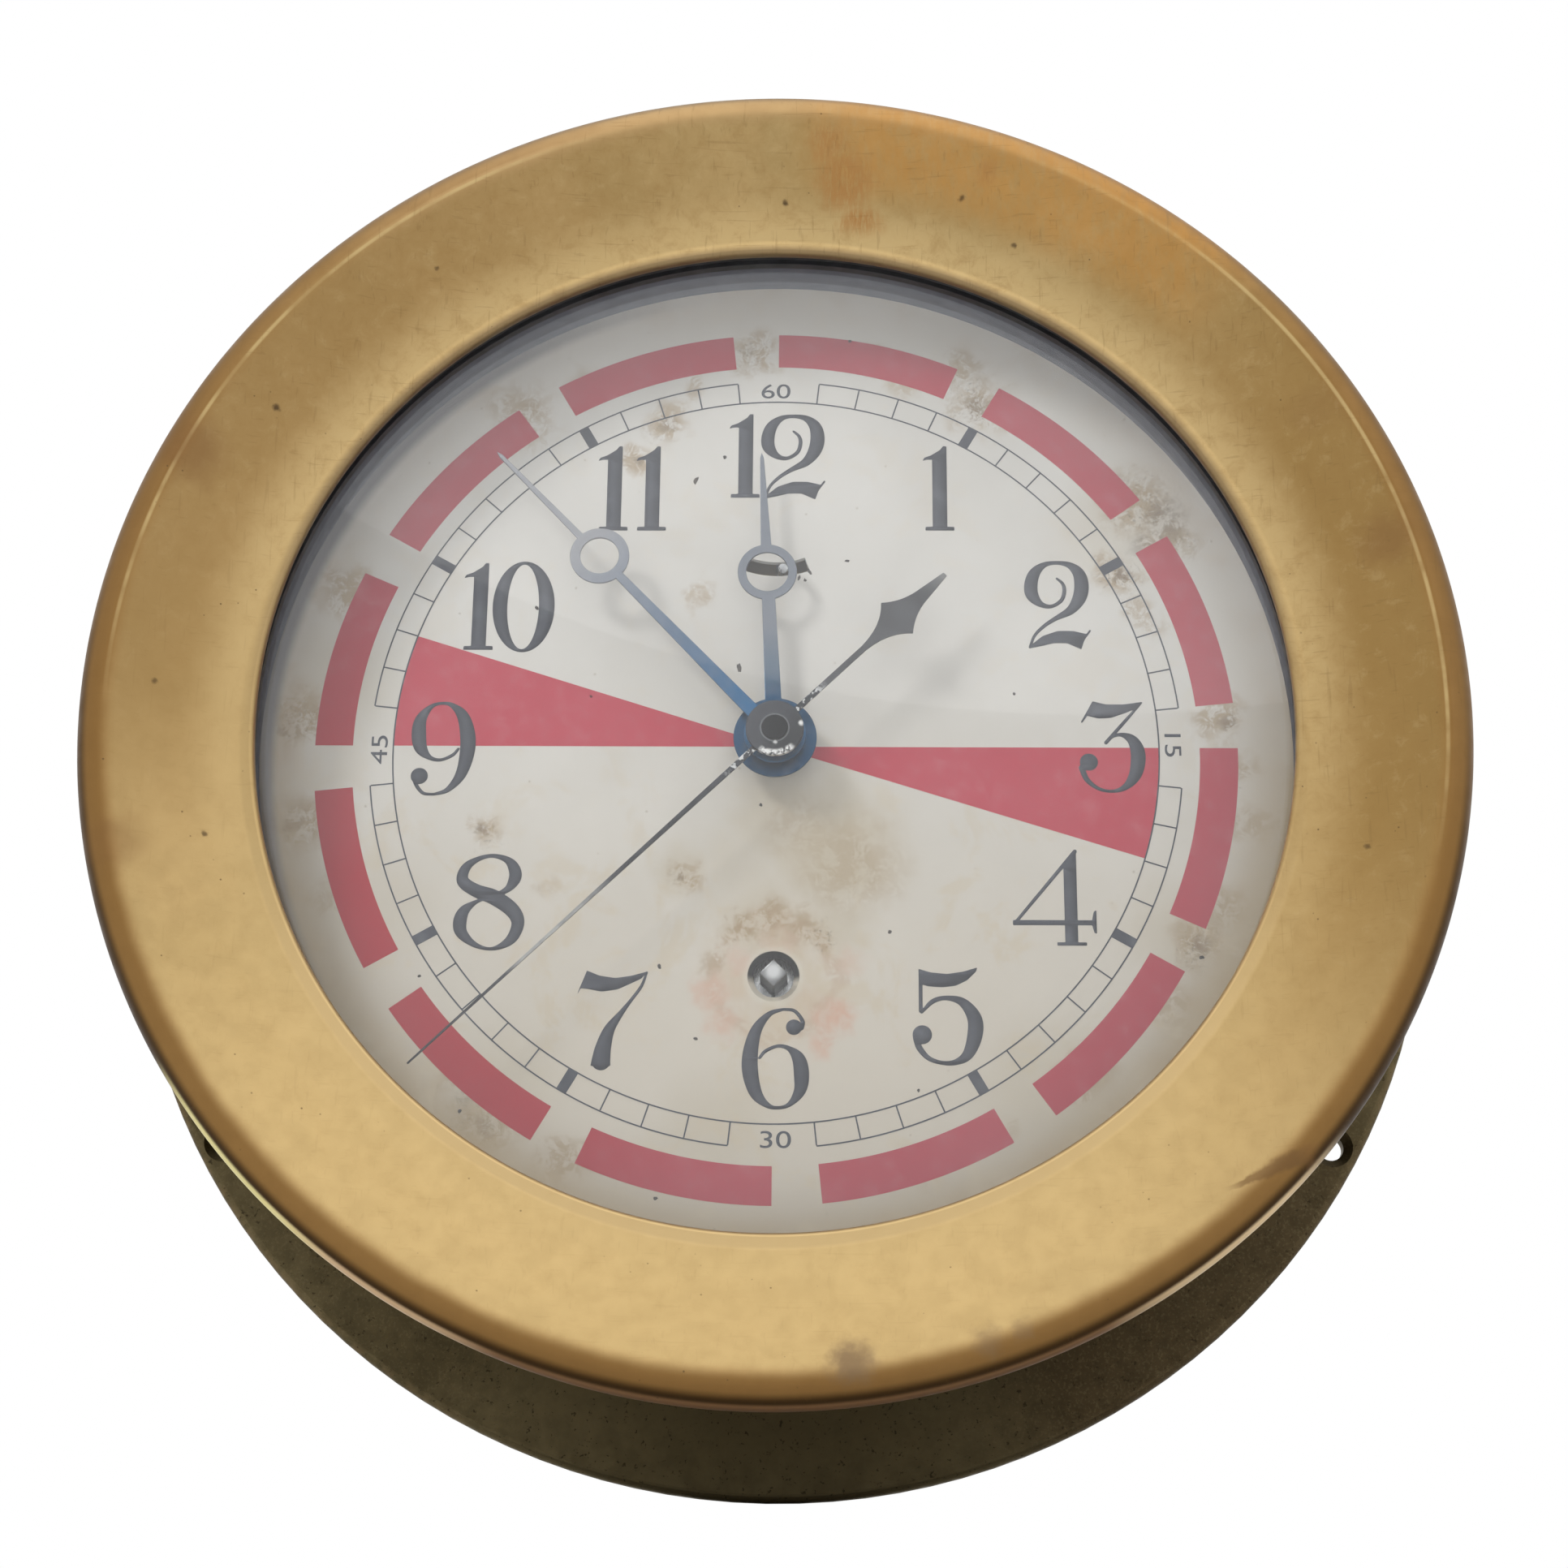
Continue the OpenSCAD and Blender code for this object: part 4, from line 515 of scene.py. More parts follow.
def hand_material(name, root, middle, tip, start, end):
    """Blued steel that has turned grey towards the tip, by distance from the hub."""
    s = Surface(name)
    along = s.span(s.r, start, end, smooth=False)
    s.color = s.ramp(along, [(0.0, root), (0.45, middle), (1.0, tip)])
    s.paint((0.25, 0.27, 0.31), s.patches((0.5, 5.0, 0.6), 0.4, 0.72, 0.0, 0.18))
    return s.finish_lines(s.streaks((6.0, 1.0, 0.8), 1.2, 3.0), 0.3, 0.42, 0.12, 0.01,
                          metal=s.span(along, 0.0, 0.3, 0.95, 0.6), specular=0.3)


def collet_material():
    """Dark disc with painted shade towards its lower right, and painted highlights along its lower edge and
    in a spot on the right.
    """
    s = Surface("dark_steel_hub")
    s.ground((0.034, 0.037, 0.047), (0.056, 0.060, 0.073), (0.8, 5.0), 0.35, 0.7)
    # painted shade towards the lower right
    s.paint((0.010, 0.011, 0.014), s.span(s.math("SUBTRACT", s.x, s.z), -2.0, 4.5, 0.0, 0.8))
    s.paint((0.003, 0.0035, 0.005), s.span(s.r, 2.1, 1.9, 0.0, 0.9))
    s.paint((0.34, 0.35, 0.37), s.band(s.r, 2.1, 0.16, 0.05, 0.35))
    # painted highlight along the lower edge, and a painted glint on the right
    arc = s.times(s.span(s.r, 3.2, 3.7), s.toward(175, 0.86, 0.93), s.patches((1.6, 4.0, 0.7), 0.40, 0.54))
    spot = s.blobs([(3.9, 0.7, 0.6, 1.0), (0.1, -2.3, 0.45, 0.8)], 0.2, 2.0)
    s.paint((0.78, 0.78, 0.77), s.math("MAXIMUM", arc, spot))
    return s.finish_lines(s.noise(s.p, 3.0, 3.0), 0.34, 0.46, 0.15, 0.01,
                          metal=s.span(s.r, 1.9, 2.1, 1.0, 0.6))


def arbor_material():
    """Painted highlight in the middle of the polished end, and painted shade down its sides inside the
    hole.
    """
    s = Surface("winding_arbor_with_painted_light")
    middle = s.vector("DISTANCE", s.flat, (0.0, 0.0, -WINDING_DROP + 0.25))
    s.color = s.mix(s.span(middle, 0.5, 1.7), (0.62, 0.63, 0.64), (0.20, 0.205, 0.215))
    s.paint((0.03, 0.032, 0.036), s.span(s.y, -DIAL_Z + 1.2, -DIAL_Z + 2.4))
    return s.finish_lines(s.noise(s.p, 2.5, 4.0), 0.28, 0.42, 0.2, 0.02, metal=0.8)


def seconds_material():
    """Near-black steel, bright close to the hub with worn specks and painted glints."""
    s = Surface("dark_steel_seconds")
    s.ground((0.030, 0.032, 0.038), (0.058, 0.061, 0.07), (0.4, 5.0), 0.35, 0.7)
    # worn specks and painted glints close to the hub
    s.paint((0.75, 0.76, 0.76), s.span(s.r, 11.0, 8.0), s.patches((0.9, 3.0, 0.6), 0.5, 0.58), 0.85)
    # the long end has lost its blacking towards the tip
    s.paint((0.42, 0.42, 0.41), s.span(s.r, 30.0, 42.0), s.span(s.r, 54.0, 50.0),
            s.patches((0.35, 3.0, 0.6), 0.3, 0.6, 0.35, 0.9))
    return s.finish_lines(s.noise(s.p, 2.0, 3.0), 0.32, 0.45, 0.12, 0.01, metal=0.8)


BY_SLOT = {
    "case_brass": case_material(),
    "bezel_brass": bezel_material(),
    "movement_brass": brass("movement_brass_satin", (0.56, 0.41, 0.19), (0.68, 0.51, 0.26), (0.3, 0.44),
                            lambda s: s.streaks((0.15, 1.0, 6.0), 1.6, 3.0)),
    "wheel_brass": brass("wheel_brass_turned", (0.62, 0.46, 0.2), (0.74, 0.56, 0.28), (0.2, 0.32),
                         lambda s: s.rings(9.0, 3.0), 0.2),
    "gasket_rubber": paint_material("gasket_rubber_black", (0.012, 0.012, 0.013), (0.028, 0.028, 0.03),
                                    0.62),
    "clear_glass": glass_material(),
    "black_enamel": paint_material("black_enamel_satin", (0.014, 0.014, 0.017), (0.03, 0.03, 0.035), 0.4),
    "slate_paint": paint_material("slate_paint_matt", (0.082, 0.095, 0.130), (0.110, 0.124, 0.162), 0.5),
    "silvered_brass": dial_material(),
    "blued_steel": metal("blued_steel_screws", (0.03, 0.09, 0.28), (0.06, 0.15, 0.38)),
    "dark_steel": metal("dark_steel_parts", (0.045, 0.047, 0.055), (0.09, 0.093, 0.105)),
    "steel": metal("steel_polished", (0.46, 0.47, 0.49), (0.58, 0.59, 0.6)),
    "spring_steel": metal("spring_steel_tempered", (0.11, 0.14, 0.24), (0.2, 0.23, 0.32)),
    "ruby": metal("ruby_stone", (0.42, 0.02, 0.06), (0.55, 0.05, 0.1), (0.06, 0.12), 0.0),
}
BLACK_INK = ink_material("dial_ink_black", (0.050, 0.056, 0.074), (0.103, 0.112, 0.135))
RED_INK = ink_material("dial_ink_red", (0.47, 0.045, 0.074), (0.50, 0.095, 0.125))
PALE_RED_INK = ink_material("dial_ink_red_pale", (0.43, 0.05, 0.076), (0.46, 0.105, 0.132),
                            deep=(0.39, 0.018, 0.034))
FLECK = ink_material("dial_flecks_dark", (0.045, 0.04, 0.038), (0.12, 0.1, 0.085), 0.6)

SLOT_OF = {part["node"]: part["material_slot"] for part in frame["record"]["subparts"]}
for node_name, cad_object in nodes.items():
    cad_object.data.materials.clear()
    cad_object.data.materials.append(BY_SLOT[SLOT_OF[node_name]])


# ---------------------------------------------------------------- shape helpers


@contextmanager
def reworked(mesh):
    """The mesh opened for bmesh operations, and written back after them."""
    opened = bmesh.new()
    opened.from_mesh(mesh)
    yield opened
    opened.to_mesh(mesh)
    opened.free()


def make_piece(name, points, faces, material, body, slot, smooth=35.0):
    """A mesh from dial points in mm, riding on a CAD body."""
    mesh = bpy.data.meshes.new(name)
    mesh.from_pydata([world_point(*p) for p in points], [], faces)
    mesh.materials.append(material)
    with reworked(mesh) as opened:
        bmesh.ops.recalc_face_normals(opened, faces=opened.faces)
    mesh.shade_smooth()
    mesh.set_sharp_from_angle(angle=math.radians(smooth))
    piece = placed(name, mesh)
    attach(piece, body)
    return piece


def polar(centre, radius, degrees):
    """Point at an angle from the first axis round a centre."""
    a = math.radians(degrees)
    return centre[0] + radius * math.cos(a), centre[1] + radius * math.sin(a)


def make_print(name, points, faces, material):
    """A piece printed on the dial."""
    return make_piece(name, points, faces, material, "case_body", "black_enamel")


def arc_points(centre, radius, start, end, count):
    return [polar(centre, radius, a) for a in np.linspace(start, end, count + 1)]


def sweep(profile, angles, whole, centre=(0.0, 0.0), first=0):
    """Points and faces of a closed (r, h) profile led through clock angles round an axis."""
    count, stations = len(profile), len(angles)
    points = []
    for angle in angles:
        x, y = clock(1.0, angle)
        points += [(centre[0] + r * x, centre[1] + r * y, h) for r, h in profile]
    faces = []
    for i in range(stations if whole else stations - 1):
        here, ahead = first + i * count, first + (i + 1) % stations * count
        for k in range(count):
            m = (k + 1) % count
            faces.append((here + k, here + m, ahead + m, ahead + k))
    return points, faces


def lathe(profile, segments=384, centre=(0.0, 0.0)):
    return sweep(profile, [360.0 * i / segments for i in range(segments)], True, centre)


class Flat:
    """Thin solids drawn on the dial, gathered into one mesh."""

    def __init__(self, low, high):
        self.low, self.high = low, high
        self.points, self.faces = [], []

    def prism(self, outline):
        """A solid over one outline without holes."""
        start, count = len(self.points), len(outline)
        self.points += [(x, y, self.low) for x, y in outline]
        self.points += [(x, y, self.high) for x, y in outline]
        bottom = tuple(range(start, start + count))
        top = tuple(range(start + count, start + 2 * count))
        self.faces += [bottom[::-1], top]
        for k in range(count):
            m = (k + 1) % count
            self.faces.append((bottom[k], bottom[m], top[m], top[k]))

    def sector(self, inner, outer, start, end):
        """Part of a ring between two clock angles, or a whole ring."""
        whole = end - start == 360
        angles = np.linspace(start, end, end - start + 1)  # one slice a degree
        first = len(self.points)
        profile = [(inner, self.low), (outer, self.low), (outer, self.high), (inner, self.high)]
        points, faces = sweep(profile, angles[:-1] if whole else angles, whole, first=first)
        self.points += points
        self.faces += faces
        if not whole:
            last = len(self.points) - 4
            self.faces += [(first + 3, first + 2, first + 1, first), (last, last + 1, last + 2, last + 3)]

    def bar(self, inner, outer, width, angle):
        """A straight mark along a radius."""
        half = width / 2
        ux, uy = clock(1.0, angle)
        corners = [(inner, -half), (outer, -half), (outer, half), (inner, half)]
        self.prism([(r * ux + w * uy, r * uy - w * ux) for r, w in corners])

    def piece(self, name, material):
        make_print(name, self.points, self.faces, material)


def catmull(points, steps=8, closed=False):
    """A smooth line of (x, y, width) through the given ones."""
    pts = [np.array(p, float) for p in points]
    if closed:
        pts = [pts[-1], *pts, *pts[:2]]
    else:
        pts = [2 * pts[0] - pts[1], *pts, 2 * pts[-1] - pts[-2]]
    result = []
    for a, b, c, d in zip(pts, pts[1:], pts[2:], pts[3:]):
        for t in np.arange(steps) / steps:
            result.append(0.5 * (2 * b + (c - a) * t + (2 * a - 5 * b + 4 * c - d) * t ** 2
                                 + (3 * b - a - 3 * c + d) * t ** 3))
    return result + [pts[-2]]


FAR = 1e9
TINY = 1e-12


def to_segment(px, py, ax, ay, bx, by):
    """Distances to a straight piece, and how far along it the nearest points lie."""
    dx, dy = bx - ax, by - ay
    t = np.clip(((px - ax) * dx + (py - ay) * dy) / (dx * dx + dy * dy + TINY), 0, 1)
    return np.hypot(px - ax - t * dx, py - ay - t * dy), t


def near_stroke(px, py, stroke):
    """Signed distance to a line of changing width."""
    best = np.full(px.shape, FAR)
    for (ax, ay, aw), (bx, by, bw) in zip(stroke[:-1], stroke[1:]):
        gap, t = to_segment(px, py, ax, ay, bx, by)
        best = np.minimum(best, gap - (aw + (bw - aw) * t) / 2)
    return best


def near_polygon(px, py, outline):
    """Signed distance to a filled outline."""
    best = np.full(px.shape, FAR)
    inside = np.zeros(px.shape, bool)
    for (ax, ay), (bx, by) in zip(outline, outline[1:] + outline[:1]):
        best = np.minimum(best, to_segment(px, py, ax, ay, bx, by)[0])
        with np.errstate(divide="ignore", invalid="ignore"):
            before = px < (bx - ax) * (py - ay) / (by - ay) + ax
        inside ^= ((ay > py) != (by > py)) & before
    return np.where(inside, -best, best)


def contours(field, xs, ys):
    """Closed outlines where a field on a grid is zero."""

    def cross(key):
        (i, j), (k, m) = key
        a, b = field[j, i], field[m, k]
        t = a / (a - b)
        return xs[i] + (xs[k] - xs[i]) * t, ys[j] + (ys[m] - ys[j]) * t

    # from each cut grid edge to the next one of its outline, cell by cell
    onward = {}
    negative = field < 0
    near, ahead = negative[:-1, :-1], negative[:-1, 1:]
    mixed = np.argwhere((near != negative[1:, 1:]) | (ahead != negative[1:, :-1]) | (near != ahead))
    for j, i in mixed:
        corners = [(i, j), (i + 1, j), (i + 1, j + 1), (i, j + 1)]
        leaving, entering = [], []
        for a, b in zip(corners, corners[1:] + corners[:1]):
            was, becomes = negative[a[::-1]], negative[b[::-1]]
            if was != becomes:
                (leaving if was else entering).append(tuple(sorted((a, b))))
        onward.update(zip(leaving, entering))
    loops = []
    while onward:
        loop, here = [], next(iter(onward))
        while here in onward:
            loop.append(cross(here))
            here = onward.pop(here)
        if len(loop) > 8:
            loops.append(loop)
    return loops


def thin_out(loop, tolerance=0.006):
    """Drops points of a closed outline that lie on a straight line."""
    keep = list(loop)
    changed = True
    while changed and len(keep) > 8:
        changed = False
        result = []
        k = 0
        while k < len(keep):
            a, b, c = keep[k - 1], keep[k], keep[(k + 1) % len(keep)]
            span = math.hypot(c[0] - a[0], c[1] - a[1])
            off = abs((c[0] - a[0]) * (b[1] - a[1]) - (c[1] - a[1]) * (b[0] - a[0])) / (span + 1e-9)
            if off < tolerance and span < 1.0 and result and result[-1] == a:
                changed = True
                result.append(c)
                k += 2
            else:
                result.append(b)
                k += 1
        keep = [p for n, p in enumerate(result) if p != result[n - 1]]
    return keep


def points_and_faces(curve):
    """The filled shape of a curve, which is used up."""
    holder = placed(curve.name, curve)
    bpy.context.view_layer.update()
    mesh = bpy.data.meshes.new_from_object(holder.evaluated_get(bpy.context.evaluated_depsgraph_get()))
    shape = [v.co.copy() for v in mesh.vertices], [tuple(p.vertices) for p in mesh.polygons]
    bpy.data.objects.remove(holder)
    bpy.data.curves.remove(curve)
    bpy.data.meshes.remove(mesh)
    return shape


def filled(name, loops, low, high, material):
    """A thin solid over outlines, some of which may be holes in others."""
    curve = bpy.data.curves.new(name, "CURVE")
    curve.dimensions = "2D"
    curve.fill_mode = "BOTH"
    curve.extrude = (high - low) / 2
    for loop in loops:
        spline = curve.splines.new("POLY")
        spline.points.add(len(loop) - 1)
        for point, (x, y) in zip(spline.points, loop):
            point.co = (x, y, 0.0, 1.0)
        spline.use_cyclic_u = True
    flat, faces = points_and_faces(curve)
    middle = (low + high) / 2
    piece = make_print(name, [(v.x, v.y, v.z + middle) for v in flat], faces, material)
    with reworked(piece.data) as opened:
        bmesh.ops.remove_doubles(opened, verts=opened.verts, dist=1e-7)
        bmesh.ops.recalc_face_normals(opened, faces=opened.faces)


# ---------------------------------------------------------------- the dial's print

ONE = [(-2.6, 5), (-2.3, 5.55), (-1.3, 5.9), (0.2, 6.9), (0.6, 7.5), (1.15, 7.5), (1.15, -6.2),
       (2.2, -6.25), (2.25, -6.85), (-2.25, -6.85), (-2.2, -6.25), (-1.1, -6.2), (-1.1, 5.2), (-1.9, 5.2)]
TWO_STROKE = [(-.1, 4.33, .35), (.75, 3.5, .5), (1, 2.3, .6), (.5, .7, .6), (-1.1, -.3, .6), (-2.7, .1, 1),
              (-3.9, 1.5, 1.9), (-4.1, 3.2, 2.05), (-3.5, 5.2, 1.7), (-2, 6.6, .9), (-.17, 6.95, .6),
              (1.8, 6.6, 1), (3.2, 5.3, 1.8), (3.65, 3.4, 2.2), (3.3, 1.2, 2.1), (1.9, -.9, 1.4),
              (-.3, -2.2, .75), (-2.2, -3.5, .55), (-3.7, -5.1, .45), (-4.45, -7, .4)]
TWO_WAVE = [(-4.57, -7.2), (-4.1, -6.5), (-2.5, -5.17), (-.17, -4.33), (2.17, -4.33), (4.17, -4.83),
            (4.67, -4.1), (4.9, -4.3), (3.83, -5.83), (3.33, -7.33), (3, -7.17), (1.17, -6.33),
            (-.83, -6.33), (-2.5, -6.77)]
SIX_STROKE = [(.83, 7.23, .4), (-1.17, 6.5, .8), (-3, 4.17, 1.6), (-3.83, .83, 2.2), (-3.83, -2.17, 2.3),
              (-3, -5.17, 1.8), (-1.5, -6.83, .9), (0, -7.33, .5), (1.83, -6.83, .7), (3.33, -4.83, 1.7),
              (3.57, -2.5, 2.2), (3.17, -.17, 1.9), (1.83, 1.33, .8), (.17, 1.77, .5), (-1.67, 1, .5),
              (-2.5, 0, .4)]
SIX_HOOK = [(.83, 7.23, .4), (2.5, 7, .5), (3.67, 5.5, .6), (3.5, 4.5, .8)]


def turned(shape):
    """The same points or strokes after half a turn."""
    return [(-p[0], -p[1], *p[2:]) for p in shape]


def moved(shape, dx, dy=0):
    return [(p[0] + dx, p[1] + dy, *p[2:]) for p in shape]


def ball(x, y, radius):
    return [(x, y, 2 * radius), (x + 0.01, y, 2 * radius)]


def oval(cx, cy, rx, ry, count=72):
    return [(cx + rx * math.cos(a), cy + ry * math.sin(a))
            for a in np.linspace(0, 2 * math.pi, count, endpoint=False)]


# each numeral: where it stands, strokes, closed strokes, filled outlines, outlines cut out
NUMERALS = {
    12: ((0.2, 47.9), [moved(TWO_STROKE, 2.3, .2)], [], [moved(ONE, -5.25), moved(TWO_WAVE, 2.3, .2)], []),
    1: ((25.1, 42.4), [], [], [ONE], []),
    2: ((43, 23.2), [TWO_STROKE], [], [TWO_WAVE], []),
    3: ((50.6, 0.1),
        [[(4.5, 7.1, .3), (1.75, 3.9, .5), (-1, .7, .55)],
         [(-.6, 1.2, .4), (.3, 1.8, .45), (1.5, 1.95, .7), (2.9, 1.2, 1.5), (3.65, -.4, 2.1),
          (3.7, -2.4, 2.2), (3.1, -4.6, 1.8), (1.7, -6.3, 1), (-.2, -7, .5), (-2.3, -6.6, .55),
          (-4, -5.2, .8), (-4.75, -3.3, .9)], ball(-3.65, -2.4, 1.35)], [],
        [[(-4.67, 4), (-2.83, 7.33), (-.83, 6.83), (1.83, 6.83), (4.5, 7.23), (3.67, 6.17), (2.17, 5.5),
          (-.17, 4.67), (-2, 4.57), (-3.67, 5), (-4.5, 3.83)]], []),
    4: ((41.7, -23.7), [[(-6.4, -3.8, .45), (2.75, 7.35, .6)]], [],
        [[(-6.6, -4), (5.2, -4), (5.2, -3.23), (-6.6, -3.23)],
         [(1, 5.6), (2.9, 7.6), (2.9, -6.6), (4.17, -6.6), (4.17, -7.1), (-.17, -7.1), (-.17, -6.6),
          (1, -6.6)],
         [(5, -3.2), (5.3, -1.9), (5.67, -1.67), (5.67, -5.33), (5.3, -5.1), (5, -4)]], []),
    5: ((25.4, -41.6),
        [[(-3.83, .67, .4), (-2.17, 2.33, .7), (-.17, 2.83, .7), (2.17, 2.17, 1.3), (3.83, -.17, 2.1),
          (3.83, -2.83, 2.2), (2.83, -5.5, 1.6), (1.17, -6.67, .9), (-.83, -6.83, .6), (-2.83, -6.17, .7),
          (-4.17, -4.67, .9), (-4.67, -3.17, .9)], ball(-3.77, -2.67, 1.4)], [],
        [[(-4.23, 7.17), (-3.67, 7), (-3.67, .67), (-4.23, .67)],
         [(-4.17, 7.17), (-2.5, 6.67), (-.17, 6.43), (2.17, 6.77), (4.33, 7.43), (4.17, 6.83), (2.83, 5.5),
          (1.17, 4.67), (-.83, 4.43), (-2.83, 4.57), (-3.67, 4.83)]], []),
    6: ((0.6, -47.8), [SIX_STROKE, SIX_HOOK, ball(2.43, 4.57, 1.15)], [], [], []),
    7: ((-23.6, -42.2),
        [[(5.1, 7.1, .3), (4.33, 5, .45), (2.83, 2.83, .5), (1.5, 1, .8), (-.17, -1.5, 1.6),
          (-.97, -4.17, 2.3), (-1.25, -6.2, 2.7)]], [],
        [[(-5, 3.83), (-3.67, 7.33), (-1.83, 6.57), (.5, 6.23), (2.83, 6.57), (5.17, 7.23), (4.33, 6.17),
          (2.83, 5.43), (.83, 4.5), (-1.5, 4.17), (-3.5, 4.57), (-4.5, 4.67), (-5, 3.67)],
         [(-2.75, -6.9), (.15, -6.9), (.0, -5.5), (-2.5, -5.5)]], []),
    8: ((-41.9, -24.4), [],
        [[(-4.17, 3.17, 1.8), (-2.17, 1.67, 2), (.5, .67, 2.3), (3.17, -1.17, 2.2), (4.23, -3.17, 1.9),
          (3.5, -5.5, 1.6), (1.83, -6.83, .9), (0, -7.23, .5), (-2.17, -6.5, .9), (-4, -4.83, 1.7),
          (-4.33, -3.17, 2), (-3.83, -1.5, 1.6), (-2.5, -.33, .8), (-1.17, .33, .5), (2.17, 1.67, .9),
          (3.5, 3.5, 1.8), (3.33, 5.17, 1.7), (2.17, 6.5, 1), (0, 7.07, .6), (-2.17, 6.5, .8),
          (-3.83, 5.17, 1.4)]], [], []),
    9: ((-50.2, -0.5), [turned(SIX_STROKE), turned(SIX_HOOK), ball(-3.17, -4.33, 1.28)], [], [], []),
    10: ((-40.5, 22.4), [], [], [moved(ONE, -4.95), oval(1.75, .27, 4.75, 7.5)],
         [oval(1.67, .27, 2.43, 7)]),
    11: ((-22.2, 42.3), [], [], [moved(ONE, -3.2), moved(ONE, 2.73)], []),
}
PRINT_LOW = DIAL_Z + 0.002
RED_TOP = DIAL_Z + 0.014
INK_LOW = DIAL_Z + 0.016
INK_TOP = DIAL_Z + 0.032
GRID = 0.11
HALF_WIDE, HALF_TALL = 9.3, 8.6
# the grid is shifted a little, so that none of its points lies on an outline
SHIFT_X, SHIFT_Y = 0.0137, 0.0173


def numeral(hour):
    (cx, cy), strokes, closed, outlines, cut = NUMERALS[hour]
    xs = np.arange(-HALF_WIDE, HALF_WIDE, GRID) + SHIFT_X
    ys = np.arange(-HALF_TALL, HALF_TALL, GRID) + SHIFT_Y
    px, py = np.meshgrid(xs, ys)
    field = np.full(px.shape, FAR)
    for stroke in strokes:
        line = catmull(stroke) if len(stroke) > 2 else [np.array(p, float) for p in stroke]
        field = np.minimum(field, near_stroke(px, py, line))
    for stroke in closed:
        field = np.minimum(field, near_stroke(px, py, catmull(stroke, closed=True)))
    shapes = [near_polygon(px, py, o) for o in outlines]
    for n, shape in enumerate(shapes):
        if cut and n == len(shapes) - 1:
            for hole in cut:
                shape = np.maximum(shape, -near_polygon(px, py, hole))
        field = np.minimum(field, shape)
    loops = [[(x + cx, y + cy) for x, y in thin_out(loop)] for loop in contours(field, xs, ys)]
    filled(f"numeral_{hour:02d}", loops, INK_LOW, INK_TOP, BLACK_INK)


for hour in range(1, 13):
    numeral(hour)

TRACK_IN, TRACK_OUT = 57.4, 61.1
LINE = 0.22
HOUR_MARK = 1.6
WEDGE_IN, WEDGE_OUT = 3.9, 57.5
DASH_IN, DASH_OUT = 63.6, 69.3

wedges = Flat(PRINT_LOW, RED_TOP)
for start, end in ((90.0, 107.6), (270.0, 288.0)):
    outer = [clock(WEDGE_OUT, a) for a in np.linspace(start, end, 24)]
    inner = [clock(WEDGE_IN, a) for a in np.linspace(end, start, 6)]
    wedges.prism(outer + inner)
wedges.piece("red_wedges", RED_INK)

dashes = Flat(PRINT_LOW, RED_TOP)
for start in range(0, 360, 30):
    dashes.sector(DASH_IN, DASH_OUT, start, start + 24)
dashes.piece("red_dashes", PALE_RED_INK)

track = Flat(INK_LOW, INK_TOP)
track.sector(TRACK_IN, TRACK_IN + LINE, 0, 360)
for minute in (0, 15, 30, 45):
    track.sector(TRACK_OUT - LINE, TRACK_OUT, 6 * (minute + 1), 6 * (minute + 14))
for minute in range(60):
    if minute % 15:
        track.bar(TRACK_IN + 0.2, TRACK_OUT - 0.2, LINE if minute % 5 else HOUR_MARK, 6 * minute)
track.piece("minute_track", BLACK_INK)


FIGURE_SIZE = 3.55
FIGURE_STRETCH = 1.38


def track_number(text, x, y, turn):
    """A small figure from Blender's own font, laid on the dial."""
    curve = bpy.data.curves.new("track_number_" + text, "FONT")
    curve.body = text
    curve.size = FIGURE_SIZE
    curve.extrude = (INK_TOP - INK_LOW) / 2
    flat, faces = points_and_faces(curve)
    centre = Vector([(min(column) + max(column)) / 2 for column in zip(*flat)])
    place = Vector((x, y, (INK_LOW + INK_TOP) / 2))
    spin = Matrix.Rotation(math.radians(-turn), 3, "Z") @ Matrix.Diagonal((FIGURE_STRETCH, 1.0, 1.0))
    points = [spin @ (v - centre) + place for v in flat]
    make_print("track_number_" + text, points, faces, BLACK_INK)


track_number("60", -0.4, 59.4, 0)
track_number("15", 59.6, 0.4, 90)
track_number("30", 0.5, -59.75, 0)
track_number("45", -59.6, -0.67, -90)

# small dark marks left on the dial: x, y, half length, half width, direction
MARKS = [
    (-5.6, 12.7, 0.45, 0.9, 10), (-12.7, 44, 0.35, 0.75, -20), (-8.3, 48, 0.3, 0.4, 0),
    (-2.1, -9.2, 0.3, 0.3, 0), (10.8, 30.4, 0.45, 0.22, 0), (5, 28.6, 0.25, 0.6, 30),
    (3.4, 27.6, 0.2, 0.5, -10), (4.3, 27.2, 0.25, 0.35, 20), (-16.7, -34.2, 0.3, 0.4, 0),
    (-11.2, -45, 0.4, 0.3, 0), (17, -28.8, 0.3, 0.3, 0), (-51.8, -35.8, 0.35, 0.3, 0),
    (-16.5, -68.3, 0.4, 0.3, 30), (62.5, -32.5, 0.4, 0.35, 0), (-36.7, 22.5, 0.25, 0.5, 40),
    (-35.2, 21.6, 0.2, 0.3, 0), (11.2, 68.3, 0.35, 0.3, 0), (-45, -55.8, 0.3, 0.3, 0),
    (36, 8.6, 0.22, 0.3, 0), (-28, 8, 0.18, 0.25, 0), (21, -52.5, 0.25, 0.25, 0),
]
FLECK_CORNERS = 11
rng = random.Random(7)
flecks = Flat(PRINT_LOW, RED_TOP)
for x, y, half_x, half_y, turn in MARKS:
    across, up = polar((0.0, 0.0), 1.0, turn)
    outline = []
    for k in range(FLECK_CORNERS):
        size = rng.uniform(0.65, 1.15)
        u, v = polar((0.0, 0.0), size, 360 * k / FLECK_CORNERS)
        u, v = u * half_x, v * half_y
        outline.append((x + u * across - v * up, y + u * up + v * across))
    flecks.prism(outline)
flecks.piece("dial_flecks", FLECK)


# ---------------------------------------------------------------- metal pieces

